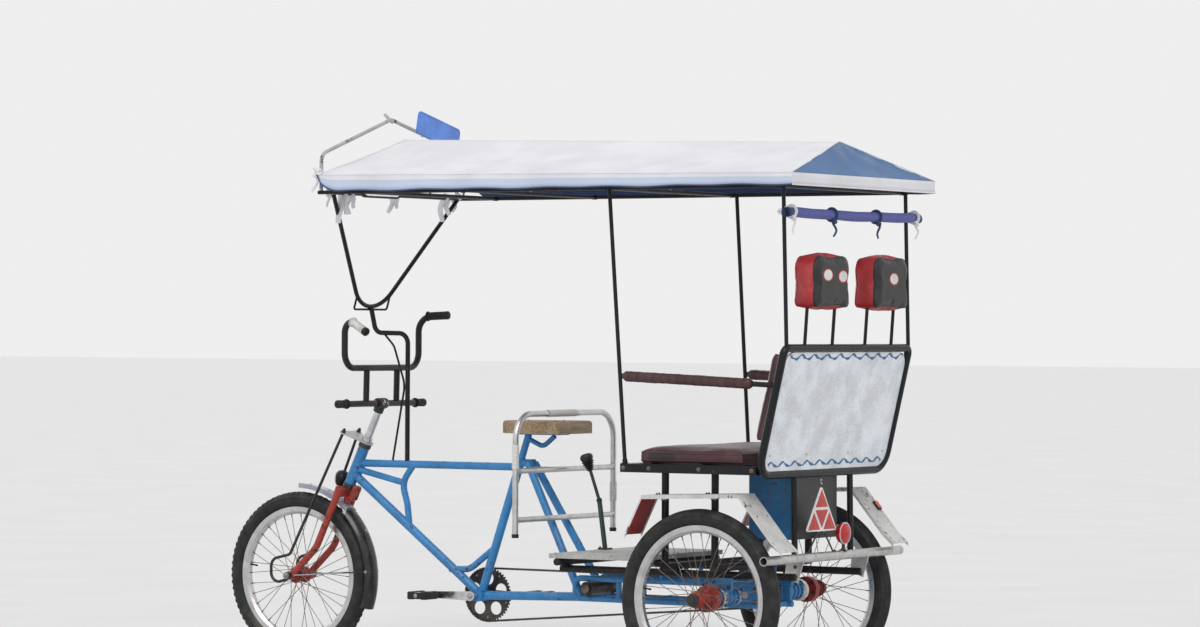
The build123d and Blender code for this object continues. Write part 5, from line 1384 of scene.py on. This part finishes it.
ROLL_X = -374.7
ROLL_Z = 1641
ROLL_TURNS = 3.2
ROLL_HALF_WIDTH = 478
ROLL_POST_Y = 444
ROLL_TIE_Y = 160


def make_rolled_curtain():
    """The rear curtain, rolled up and tied to the two rear posts."""
    bm = bmesh.new()
    rows = []
    for s in range(73):
        y = -ROLL_HALF_WIDTH + 2 * ROLL_HALF_WIDTH * s / 72
        squeeze = sum(exp(-((y - side * ROLL_POST_Y) / 16) ** 2) for side in SIDES) * 0.16
        squeeze += sum(exp(-((y - side * ROLL_TIE_Y) / 14) ** 2) for side in SIDES) * 0.12
        if abs(y) < ROLL_POST_Y:
            droop = -5.0 * cos(y / ROLL_POST_Y * pi / 2)
        else:
            droop = -2.5 * (abs(y) - ROLL_POST_Y) / 34

        def spiral(t):
            turn = -0.6 + 2 * pi * ROLL_TURNS * t
            radius = (5 + 15.2 * t) * (1 - squeeze)
            radius += 0.9 * sin(3 * turn + y * 0.02) * t + 0.8 * bumpy(Vector((turn * 0.3, y * MM * 9, t)),
                                                                       1.0) * t
            return at(ROLL_X + radius * cos(turn), y, ROLL_Z + droop + radius * sin(turn))

        rows.append([bm.verts.new(point) for point in stepped(92, spiral)])
    grid(bm, rows, lambda j: 0)
    for face in bm.faces:
        face.material_index = 1 if abs(face.calc_center_median().y) > 0.425 else 0
    roll_area = sum(face.calc_area() for face in bm.faces)
    roll = kept("rolled_curtain_cloth", bm, [violet_canvas, navy_cloth_and_shade], "chassis", 60)
    thick = roll.modifiers.new("thickness", "SOLIDIFY")
    thick.thickness = 0.0012
    bm = bmesh.new()
    for y, finish, round_post in ((ROLL_POST_Y, 0, True), (-ROLL_POST_Y, 0, True), (ROLL_TIE_Y, 1, False),
                                  (-ROLL_TIE_Y, 1, False)):
        middle_z = ROLL_Z + (0 if round_post else -4.4)
        reach = 29 if round_post else 0
        radius = 20.6 if round_post else 21

        def strap(turn):
            x = ROLL_X + radius * cos(turn) + (reach if cos(turn) > 0 else 0) * cos(turn) ** 2
            pinch = 1 if cos(turn) <= 0 or not round_post else 1 - 0.45 * cos(turn)
            return at(x, y, middle_z + radius * sin(turn) * pinch)

        swept(bm, looped(40, strap), flat_band(0.011, 0.0024), finish, True, Y)
        knot(bm, at(ROLL_X - 12, y, middle_z - 20), 0.02, finish)
        tail(bm, at(ROLL_X - 12, y + 3, middle_z - 26), 0.05, 0.009, finish, y * 0.01, (-0.004, 0.006))
    ties = kept("rolled_curtain_ties", bm, [white_canvas, navy_cloth_and_shade])
    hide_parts("rolled_curtain")


make_canopy()
make_canopy_ties()
make_rolled_curtain()


# Handlebar grips, the stem's clamp and its bolts
FRONT_AXLE = at(1980, 0, WHEEL_R)
HEAD_NORMAL = Vector((cos(HEAD_ANGLE), 0, sin(HEAD_ANGLE)))
AXIS_FOOT = FRONT_AXLE - HEAD_NORMAL * 0.06


def on_axis(z):
    """The point of the steering axis at a height in millimetres."""
    return AXIS_FOOT + HEAD_AXIS * ((z * MM - AXIS_FOOT.z) / HEAD_AXIS.z)


BAR = on_axis(960)
HIGH_X = BAR.x - 0.003
HIGH_ROOTS = {1: Vector((HIGH_X, 0.24, 1.282)), -1: Vector((HIGH_X, -0.24, 1.282))}
HIGH_ENDS = {1: Vector((HIGH_X - 0.12, 0.278, 1.225)), -1: Vector((HIGH_X - 0.124, -0.25, 1.288))}


def ribbed(bm, end, run, length, radius, finish, end_finish, rib=5.2):
    """A moulded grip: rings, a flange towards the bar and a rounded cap at its end."""
    profile = [(-length, 12.2), (-length, radius + 3.2), (-length + 3.4, radius + 3.4),
               (-length + 4.4, radius - 0.6)]
    along = -length + 6
    while along < -9:
        profile += [(along, radius - 1.1), (along + rib * 0.25, radius), (along + rib * 0.62, radius),
                    (along + rib * 0.86, radius - 1.1)]
        along += rib
    turned(bm, end, run, profile + [(-8, radius - 0.8), (-7.6, 12.2)], 28, finish)
    turned(bm, end, run, [(-8, 12.2), (-8, radius + 0.2), (2.5, radius + 0.4), (5, radius - 1.4),
                          (6, radius - 5),
                          (6, 3), (3.6, 2.6)], 28, end_finish)


def make_grips():
    bm = bmesh.new()
    for side in SIDES:
        end = HIGH_ENDS[side]
        run = (end - HIGH_ROOTS[side]).normalized()
        ribbed(bm, end, run, 86, 15.4, 0 if side > 0 else 1, 1)
        if side > 0:
            turned(bm, end, run, [(-92, 12.2), (-92, 15.2), (-87, 15.9), (-85.6, 12.2)], 28, 1)
        ribbed(bm, BAR + Y * (side * 276 * MM), Y * side, 55, 14.8, 1, 1, 7.5)
    grips = kept("bar_grips", bm, [white_rubber, black_rubber], "steering", 50)
    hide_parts("grips")


def make_steering_fittings():
    bm = bmesh.new()
    turned(bm, on_axis(928), HEAD_AXIS, [(0, 15), (0, 18.4), (1.4, 19), (20, 19), (22, 17)], 32, 0)
    for side in SIDES:
        turned(bm, BAR, Y * side, [(4, 19.3), (5, 20.4), (21, 20.4), (24, 19.6), (26.4, 19), (26.4, 12.3)],
               32, 0)
    turned(bm, BAR - HEAD_NORMAL * 0.019, -HEAD_NORMAL, [(-3, 10), (2, 10), (3, 8.4)], 6, 0)
    for across in (-14, 14):
        bolt(bm, BAR - HEAD_NORMAL * 0.017 + Y * (across * MM) + HEAD_AXIS * 0.006, -HEAD_NORMAL, 9, 1)
    # Locknut and top race of the headset, and the truss plate's nuts
    top = on_axis(797)
    turned(bm, top, HEAD_AXIS, [(19.2, 14.4), (19.4, 17.4), (22.4, 17.8), (22.8, 15)], 28, 1)
    turned(bm, top, HEAD_AXIS, [(22.6, 15), (23, 19.2), (31, 19.2), (31.8, 17.6), (31.8, 14.6)], 8, 1)
    for side in SIDES:
        place = top + HEAD_AXIS * (23 * MM) + HEAD_NORMAL * (78 * MM) + Y * (side * 49 * MM)
        turned(bm, place, HEAD_AXIS, [(0, 9.8), (1.4, 9.8), (1.6, 8), (8.6, 8), (9.6, 6.8)], 6, 0)
        turned(bm, place, HEAD_AXIS, [(9, 5.0), (15, 5.0), (16, 4)], 12, 0)
        # Axle nuts outside the dropouts and the truss rods' lugs
        end = FRONT_AXLE + Y * (side * 89.4 * MM)
        turned(bm, end, Y * side, [(-0.6, 12), (1.2, 12), (1.5, 10)], 24, 1)
        turned(bm, end, Y * side, [(1.2, 9), (1.8, 9.6), (9, 9.6), (10, 8.4)], 6, 1)
        turned(bm, end, Y * side, [(9, 5), (15, 5), (16, 4)], 14, 1)
    kept("steering_clamps_and_nuts", bm, [black_steel, bright_steel], "steering", 30)

    # Folded box bracket behind the crown, with its bolts
    bm = bmesh.new()
    bracket = on_axis(640) - HEAD_NORMAL * 0.004
    outline = [(-17, -30), (17, -30), (20, -26), (20, 20), (14, 27), (-14, 27), (-20, 20), (-20, -26)]
    rings = []
    for back, grow in ((-23, 0.94), (-25, 1.0), (-38, 1.0), (-40, 0.94), (-40, 0.8), (-37.5, 0.76)):
        middle = bracket + HEAD_NORMAL * (back * MM)
        rings.append([middle + Y * (a * grow * MM) + HEAD_AXIS * (b * grow * MM) for a, b in outline])
    skin(bm, rings, 0)
    for across, up in ((-11, 14), (11, 14), (-11, -18), (11, -18)):
        place = bracket + HEAD_NORMAL * (-37.5 * MM) + Y * (across * MM) + HEAD_AXIS * (up * MM)
        bolt(bm, place, -HEAD_NORMAL, 7, 1, 3.6)
    kept("fork_bracket", bm, [red_enamel, rusty_steel], "steering", 30)

    # Lamp glass in a bright ring
    lamp = at(1797, -28, 676)
    bm = bmesh.new()
    turned(bm, lamp, X, [(20.6, 29.4), (22.6, 31.4), (25.2, 31), (26, 28.6), (24.4, 27.4)], 36, 0)
    turned(bm, lamp, X, [(22.4, 28.2), (24.8, 27), (26.6, 22), (28, 14), (28.6, 5), (28.7, 0.4)], 36, 1)
    for k in range(4):
        turned(bm, lamp, X, [(26.3 - k * 0.2 + 1.2, 20.4 - 5.2 * k), (28.0 + 0.35 * k, 20.0 - 5.2 * k),
                             (27.0 + 0.3 * k, 18.8 - 5.2 * k)], 30, 1)
    kept("front_lamp_glass", bm, [chrome_plate, lamp_glass], "steering", 30)

    # Rolled edges of the mudguard, its stays' eyes and its bolts
    bm = bmesh.new()
    for side in SIDES:
        def edge(t):
            turn = radians(200 - 68 * t)
            return FRONT_AXLE + Vector((cos(turn) * 323.5 * MM, side * 38 * MM, sin(turn) * 323.5 * MM))

        swept(bm, stepped(45, edge), circle(0.0022, 8), 0)
        eye = FRONT_AXLE + around(radians(176)) * 0.3252 + Y * (side * 0.0385)
        bolt(bm, eye, Y * side, 7, 1, 3.4)
    for turn in (137, 150):
        out = around(radians(turn))
        bolt(bm, FRONT_AXLE + out * (346.5 * MM), out, 9, 1, 4.4)
    for turn in (126, 112, 98):
        out = around(radians(turn))
        screw(bm, FRONT_AXLE + out * (345 * MM), out, 4.2, 1)
    kept("front_mudguard_edges", bm, [guard_edge, bright_steel], "steering", 40)


make_grips()
make_steering_fittings()


# Rear lamp, triangle, reflector, mirror, board and signs
def make_tail_lamp():
    centre = at(-286, -72, 531)
    bm = bmesh.new()
    squash_z = 39 / 41
    turned(bm, centre, -X, [(0, 30), (1.5, 34), (12, 39.6), (19, 40.6), (20, 39.4)], 44, 0)
    turned(bm, centre, -X, [(18.6, 37), (19, 40.8), (21.4, 40.9), (22.4, 39.6), (22.4, 37.6)], 44, 1)
    lens = [(21, 38)]
    for k in range(7):
        radius = 37.4 - 5.2 * k
        depth = 22 + 8 * (1 - (radius / 38) ** 2)
        lens += [(depth, radius), (depth + 0.9, radius - 1.6), (depth + 1.2, radius - 3.4)]
    turned(bm, centre, -X, lens + [(30.6, 0.6)], 44, 0)
    for vertex in bm.verts:
        vertex.co.z = centre.z + (vertex.co.z - centre.z) * squash_z
    swept(bm, [at(-300, -72, z) for z in (462, 482, 504)], circle(0.006, 12), 2)
    swept(bm, [at(-300, -84, 472.6), at(-300, -72, 473.2), at(-300, -60, 472.6)], flat_band(0.03, 0.002), 2,
          False, Z)
    bolt(bm, at(-300, -60, 474), Z, 7, 2, 3.6)
    lamp = kept("tail_lamp_lens", bm, [red_lens, chrome_plate, black_steel], "chassis", 26)
    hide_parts("tail_lamp")


def raised_shape(bm, corners, out, lift, finish, bevel=0.0015):
    """A thin painted panel that follows a flat outline."""
    middle = sum(corners, Vector()) / len(corners)
    skin(bm, [[middle + (corner - middle) * shrink + out * height for corner in corners]
              for shrink, height in ((1.0, 0.0), (1.0, lift * 0.6), (1 - bevel / 0.03, lift))], finish)


def rounded_corners(corners, radius, steps=5):
    """The outline with its corners rounded."""
    made = []
    count = len(corners)
    for k, corner in enumerate(corners):
        first = corner + (corners[k - 1] - corner).normalized() * radius
        last = corner + (corners[(k + 1) % count] - corner).normalized() * radius
        made += stepped(steps, lambda t: first * (1 - t) ** 2 + corner * (2 * t * (1 - t)) + last * t ** 2)
    return made


def rounded_plate(centre, along, half_along, up, half_up, radius, steps=5):
    """The outline of a rounded rectangle."""
    corners = [centre + along * (a * half_along) + up * (b * half_up) for a, b in SQUARE]
    return rounded_corners(corners, radius, steps)


def make_triangle_panels():
    """Four red panels on the warning triangle, its hook, and its screws."""
    face_x = -305.2
    base = 545
    apex = 701
    half = 109
    middle_y = 94
    middle_z = (base + apex) / 2
    bm = bmesh.new()
    left, right, top = (middle_y + half, base), (middle_y - half, base), (middle_y, apex)
    low, mid_left, mid_right = (middle_y, base), (middle_y + half / 2, middle_z), (middle_y - half / 2,
                                                                                   middle_z)
    for points, margin in (((mid_left, mid_right, top), 12), ((left, low, mid_left), 13),
                           ((low, right, mid_right), 13),
                           ((mid_right, mid_left, low), 11)):
        middle = sum((Vector(point) for point in points), Vector((0, 0))) / 3
        moved = []
        for point in points:
            away = Vector(point) - middle
            moved.append(middle + away * (1 - margin / away.length))
        raised_shape(bm, rounded_corners([at(face_x, y, z) for y, z in moved], 0.003), -X, 0.0007, 0)

    def hook(t):
        turn = radians(-60 + 300 * t)
        return at(-303, middle_y + 5.5 * sin(turn), 707 + 8.5 - 8.5 * cos(turn))

    swept(bm, stepped(16, hook), circle(0.0019, 8), 1)
    screw(bm, at(face_x, middle_y, 688), -X, 3.2, 1)
    for side in SIDES:
        screw(bm, at(face_x, middle_y + side * 94, 550.6), -X, 3.0, 1)
        ring = at(-300, middle_y + side * 100, 473)
        turned(bm, ring, Z, [(-3, 3.2), (-2.4, 6.4), (2.4, 6.4), (3, 3.2)], 14, 2)
    kept("triangle_panels", bm, [red_enamel_sign, bright_steel, black_steel], "chassis", 30)


def make_reflector():
    start = Vector((-179, 0, 680))
    end = Vector((-307, 0, 528))
    run = (end - start).normalized()
    out = Vector((run.z, 0, -run.x))
    middle = start.lerp(end, 0.44)
    centre = at(middle.x, -436, middle.z) + out * 0.0006
    bm = bmesh.new()
    raised_shape(bm, rounded_plate(centre, run, 0.019, Y, 0.013, 0.006), out, 0.007, 1)
    raised_shape(bm, rounded_plate(centre + out * 0.007, run, 0.016, Y, 0.0102, 0.004), out, 0.002, 0)
    for i in range(6):
        for j in range(4):
            place = centre + out * 0.0088 + run * ((i - 2.5) * 0.0049) + Y * ((j - 1.5) * 0.0047)
            turned(bm, place, out, [(-0.3, 2.2), (0.7, 1.2), (0.9, 0.2)], 6, 0)
    kept("fender_reflector", bm, [orange_lens, black_rubber], "chassis", 30)


def make_mirror_glass():
    bm = bmesh.new()
    face = at(1466, 212, 1744)
    rim = rounded_plate(face, Y, 0.1185, Z, 0.0295, 0.023, 8)
    inner = rounded_plate(face, Y, 0.1135, Z, 0.0245, 0.019, 8)
    skin(bm, [[point + X * back for point in points]
              for points, back in ((rim, 0.0006), (rim, -0.002), (inner, -0.0024),
                                   (inner, 0.0))], 1, False, False)
    raised_shape(bm, rounded_plate(face, Y, 0.1136, Z, 0.0246, 0.019, 8), -X, 0.0006, 0, 0.0002)
    kept("mirror_face", bm, [mirror_glass, black_enamel], "chassis", 30)


def make_board_waves():
    """Brushed blue waves along the board's top and bottom edges, and the screws that hold it."""
    bm = bmesh.new()
    for low, high, waves, seed in ((37, 39, 9.5, 0.0), (BACK_LENGTH - 31, BACK_LENGTH - 29, 9.0, 2.0)):
        def stroke(t):
            phase = tau * waves * t + seed + 0.35 * sin(7 * t)
            up = low + (high - low) * t + 7.5 * sin(phase) + 1.8 * sin(2 * phase - 0.9)
            return on_back(404 - 808 * t, up, -4.35)

        swept(bm, stepped(260, stroke), lambda t: flat_band(0.0075 + 0.0032 * sin(tau * waves * t * 2 + 1),
                                                            0.0007),
              0, False, BACK_AHEAD)
    for y in (-404, -150, 150, 404):
        for up in (70, BACK_LENGTH - 26):
            screw(bm, on_back(y, up, -4.0), -BACK_AHEAD, 4.2, 1)
    kept("board_waves_and_screws", bm, [blue_brush_paint, bright_steel], "chassis", 40)


GABLE_PEAK_Z = 2012
GABLE_FOOT_Z = 1912
GABLE_HALF_WIDTH = 441
SIGN_Y = -292


def make_gable_sign():
    """Rim and screws on the blank plate at the gable, and the wires that hold it."""
    slope = atan2(GABLE_PEAK_Z - GABLE_FOOT_Z, GABLE_HALF_WIDTH)
    rise = 88 / 2 - 9
    centre = at(1577 - 7 - 0.3 - 4, SIGN_Y - rise * sin(slope),
                GABLE_PEAK_Z + SIGN_Y * tan(slope) + rise * cos(slope))
    along = Vector((0, cos(slope), sin(slope)))
    up = Vector((0, -sin(slope), cos(slope)))
    bm = bmesh.new()
    path = rounded_plate(centre, along, 0.1385, up, 0.0395, 0.016, 8)
    swept(bm, [point - X * 0.0002 for point in path], circle(0.0016, 8), 0, True)
    for a in (-1, 1):
        for b in (-1, 1):
            screw(bm, centre + along * (a * 0.124) + up * (b * 0.027), -X, 4.0, 1)
    for a in (-0.085, 0.085):
        place = centre + along * a - up * 0.032 + X * 0.011
        ring = looped(22, lambda turn: place + X * (0.0092 * cos(turn)) + up * (0.0092 * sin(turn) - 0.003))
        swept(bm, ring, circle(0.0013, 6), 1, True)
    kept("gable_plate_rim", bm, [sign_enamel, bright_steel], "chassis", 30)


make_tail_lamp()
make_triangle_panels()
make_reflector()
make_mirror_glass()
make_board_waves()
make_gable_sign()


# Bolts, clips, welds and wraps
BRACKET = at(1165, 0, 265)
LEG_Y = 331
RUBBER_FOOT = [(-1, 14.6), (1.4, 15.4), (3.6, 13.4)]
HOUSING_CAP = [(-1, 12.9), (-1, 31), (1.6, 33), (9, 33), (11.6, 31), (12.4, 26), (12.4, 15), (10, 12.9)]
BEARING_CAP = [(1.5, 33.6), (1.5, 36.6), (3.5, 38.6), (24, 38.6), (28, 36.8), (30, 33.6)]
IDLER_CAP = [(-1, 16), (1, 18), (7.4, 18), (8.6, 15), (8.6, 12)]


def make_frame_welds():
    bm = bmesh.new()
    seat_top = at(992, 0, 770)
    seat_run = (seat_top - BRACKET).normalized()
    weld(bm, BRACKET + seat_run * 0.0225, seat_run, 17.5, 0, 1)
    down_run = (on_axis(697) - BRACKET).normalized()
    weld(bm, BRACKET + down_run * 0.0225, down_run, 17.5, 0, 2)
    for z, towards, radius in ((737, at(1003, 0, 737), 15.4), (697, BRACKET, 17.4)):
        start = on_axis(z)
        run = (towards - start).normalized()
        clear = 21.5 / max(0.3, abs(run.dot(HEAD_NORMAL)))
        weld(bm, start + run * (clear * MM), run, radius, 0, z * 0.1)
    weld(bm, at(1010, 0, 737), X, 15.4, 0, 5)
    turned(bm, seat_top - seat_run * 0.022, seat_run, [(0, 16.2), (0.6, 19), (17, 19), (18, 16.2)], 30, 0)
    bolt(bm, seat_top - seat_run * 0.013 + Y * 0.0185, Y, 10, 1)
    kept("frame_welds", bm, [blue_enamel, rusty_steel], "chassis", 50)

    bm = bmesh.new()
    for side in SIDES:
        for x in (-38, 38):
            for z in (288, 336):
                bolt(bm, at(x, side * 91.2, z), Y * side, 10, 0)
                bolt(bm, at(x, side * 78.8, z), -Y * side, 10, 0)
        for x in (650, 345):
            turned(bm, at(x, side * 235, 403), Z, [(-2.5, 15), (-1, 16.4), (2, 15.6)], 26, 1)
        for x in (184, -16):
            turned(bm, at(x, side * LEG_Y, 429), Z, RUBBER_FOOT, 26, 1)
            turned(bm, at(x, side * LEG_Y, 744.8), -Z, RUBBER_FOOT, 26, 1)
        for x in (20, -20):
            bolt(bm, at(x, side * 242.2, 350), Y * side, 10, 0)
    kept("chassis_bolts", bm, [rusty_steel, dark_chassis_enamel], "chassis", 30)


def make_fender_fittings():
    """Stays from the bench's legs to the fenders, and bolts on the fenders, bumper and deck."""
    bm = bmesh.new()
    for side in SIDES:
        for x, z in ((184, 668.6), (-16, 674.6)):
            path = [at(x, side * y, z - drop) for y,
                    drop in ((LEG_Y, 26), (344, 20), (356, 8), (376, 5.2), (398, 5))]
            swept(bm, path, flat_band(0.02, 0.003), 2, False, Z)
            for y in (372, 388):
                bolt(bm, at(x, side * y, z), Z, 7, 0, 3.4)
        for x, z, out in ((240, 596, Vector((136, 0, 68))), (-242, 605, Vector((-152, 0, 128)))):
            out.normalize()
            for y in (366, 434):
                screw(bm, at(x, side * y, z) + out * 0.0004, out, 3.4, 0)
        for z in (452, 426):
            bolt(bm, at(-281, side * 238.4, z), Y * side, 8, 0, 4)
        for x in (330, 673):
            for y in (80, 270):
                screw(bm, at(x, side * y, 445), Z, 4.2, 0)
    for x in (330, 673):
        screw(bm, at(x, 0, 445), Z, 4.2, 0)
    kept("fender_and_deck_bolts", bm, [rusty_steel, bright_steel, galvanised], "chassis", 30)


def make_hoop_wraps():
    """Cloth tape wound on the hoop, and the clips that hold the hoop to the frame."""
    bm = bmesh.new()
    for start, run, length, seed in ((at(805, -70, 936), Y, 190, 0.3), (at(805, 330, 742), Z, 84, 1.7),
                                     (at(805, -330, 610), Z, 60, 3.1)):
        profile = [(-1.5, 11.1)]
        along = 0.0
        while along < length:
            lap = 0.5 * sin(along * 0.9 + seed)
            profile += [(along, 11.9 + lap * 0.3), (along + 1.0, 12.9 + lap * 0.4),
                        (along + 13.0, 12.5 + lap * 0.3)]
            along += 14.0
        turned(bm, start, run, profile + [(length + 1, 11.1)], 24, 0)
    for side in SIDES:
        turned(bm, at(805, side * 330, 500), Z, [(-2.6, 9), (-3, 12.6), (10, 12.8), (11, 11.2)], 22, 2)
        for z in (560, 734):
            turned(bm, at(805, side * 319, z), -Y * side, [(0, 12.6), (2, 13), (4.4, 10.4)], 22, 1)
    kept("hoop_wraps", bm, [white_tape, aluminium, black_rubber], "chassis", 40)


def make_bench_fittings():
    bm = bmesh.new()
    for side in SIDES:
        for x in (287, 184, -16, -225):
            bolt(bm, at(x, side * 444.2, 760), Y * side, 9, 0, 4)
        turned(bm, at(288, side * 430, 775.4), Vector((62, side * 11, 965)),
               [(0, 12), (2, 12.4), (3, 9.4), (14, 9), (15, 7.2)], 24, 1)
        for x in (-330, 370, 960, 1400):
            turned(bm, at(x, side * 441, 1729), X, [(-9, 7.4), (-8.4, 9), (8.4, 9), (9, 7.4)], 20, 1)
    for y in (-300, -100, 100, 300):
        bolt(bm, at(302.2, y, 760), X, 8, 0, 3.6)
    kept("bench_bolts_and_clips", bm, [rusty_steel, black_enamel], "chassis", 30)


def make_drive_fittings():
    """Caps on both ends of the axle housings, chainring bolts, crank bolts and pedal treads."""
    bm = bmesh.new()
    for side in (-1, 1):
        turned(bm, at(0, side * 180, WHEEL_R), -Y * side, HOUSING_CAP, 40, 0)
    for side in SIDES:
        turned(bm, at(0, side * 300, WHEEL_R), -Y * side, BEARING_CAP, 44, 0)
    kept("housing_end_caps", bm, [chrome_plate], "chassis", 30)
    bm = bmesh.new()
    for side in SIDES:
        turned(bm, BRACKET + Y * (side * 75 * MM), Y * side,
               [(-0.5, 12), (1.2, 12), (2, 10), (2, 7.5), (0.8, 7)], 24, 0)
        turned(bm, BRACKET + Y * (side * 76 * MM), Y * side, [(0, 6.6), (3.6, 6.6), (4.4, 5.4)], 6, 0)
    for k in range(5):
        turn = radians(54 + 72 * k)
        place = BRACKET + Vector((cos(turn) * 84, -43, sin(turn) * 84)) * MM
        screw(bm, place, Y, 3.6, 0)
        screw(bm, place - Y * 0.004, -Y, 3.6, 0)
    for side in SIDES:
        centre = at(1165 + side * 170, side * 130.5, 265)
        for x in (-28, 28):
            for face in (-1, 1):
                for k in range(-3, 4):
                    place = centre + Vector((x, k * 12.4, face * 12)) * MM
                    skin(bm, [[place + Vector((a * 11 * grow, b * 3.6 * grow, face * lift)) * MM for a,
                               b in SQUARE]
                              for lift, grow in ((-0.4, 1.0), (1.4, 0.92), (2.4, 0.7))], 1)
        for end in (-1, 1):
            turned(bm, centre + Y * (end * 47.5 * MM), Y * end, [(-1, 8), (1.4, 7.6), (2.6, 5)], 20, 0)
    kept("crank_and_pedal_fittings", bm, [bright_steel, black_rubber], "crank", 30)


def make_saddle_details():
    """Counterbored screws through the saddle board, the lever's foot and boot, and the idler's caps."""
    bm = bmesh.new()
    for x, y in ((830, 30), (830, -30), (980, 24), (980, -24)):
        screw(bm, at(x, y, 907.2), Z, 4.6, 0)
    for side in SIDES:
        bolt(bm, at(676, -50 + side * 17, 451.6), Z, 7, 0, 3.6)
    foot = at(690, -50, 620)
    run = (at(745, -50, 772) - foot).normalized()
    turned(bm, foot, run, [(-3, 7), (-2, 10.2), (7, 10.2), (9, 7)], 22, 1)
    for k in range(5):
        profile = [(-2.6, 10 + 2.3 * k), (0, 14 + 2.4 * k), (2.6, 10.6 + 2.3 * k)]
        turned(bm, foot + run * (0.118 + 0.0075 * k), run, profile, 26, 1)
    for side in SIDES:
        turned(bm, at(650, side * 102, WHEEL_R), Y * side, IDLER_CAP, 8, 0)
    kept("saddle_screws_and_lever_boot", bm, [rusty_steel, black_rubber], "chassis", 30)


make_frame_welds()
make_fender_fittings()
make_hoop_wraps()
make_bench_fittings()
make_drive_fittings()
make_saddle_details()


# Floor, world and lamps
FLOOR_TONE = 0.78
SKY_TONE = 0.86
SKY_LIGHT = 0.62


def make_studio():
    reach = 120
    mesh = bpy.data.meshes.new("floor")
    mesh.from_pydata([(a * reach, b * reach, 0) for a, b in SQUARE], [], [(0, 1, 2, 3)])
    floor = linked("floor", mesh)
    surface = Finish("floor", Roughness=0.9)
    tone = shade_variation(surface.tree, (FLOOR_TONE, FLOOR_TONE, FLOOR_TONE), 0.015, 1.5)
    surface.join("Base Color", tone)
    mesh.materials.append(surface.material)

    world = bpy.data.worlds.new("studio")
    world.use_nodes = True
    bpy.context.scene.world = world
    tree = world.node_tree
    light = tree.nodes["Background"]
    rays = tree.nodes.new("ShaderNodeLightPath").outputs
    seen = maths(tree, "MAXIMUM", rays["Is Camera Ray"], rays["Is Glossy Ray"])
    seen = maths(tree, "MAXIMUM", seen, rays["Is Transmission Ray"])
    light.inputs["Color"].default_value = (1, 1, 1, 1)
    feed(tree, light.inputs["Strength"], spread(tree, seen, 0.0, 1.0, SKY_LIGHT, SKY_TONE))

    for name, strength, angle, lean, turn in (("key", 1.25, 35, 42, 205), ("fill", 0.35, 60, 65, 60)):
        sun = bpy.data.lights.new(name, "SUN")
        sun.energy = strength
        sun.angle = radians(angle)
        linked(name, sun).rotation_euler = (radians(lean), 0, radians(turn))


make_studio()
bpy.context.scene.view_settings.view_transform = "Standard"
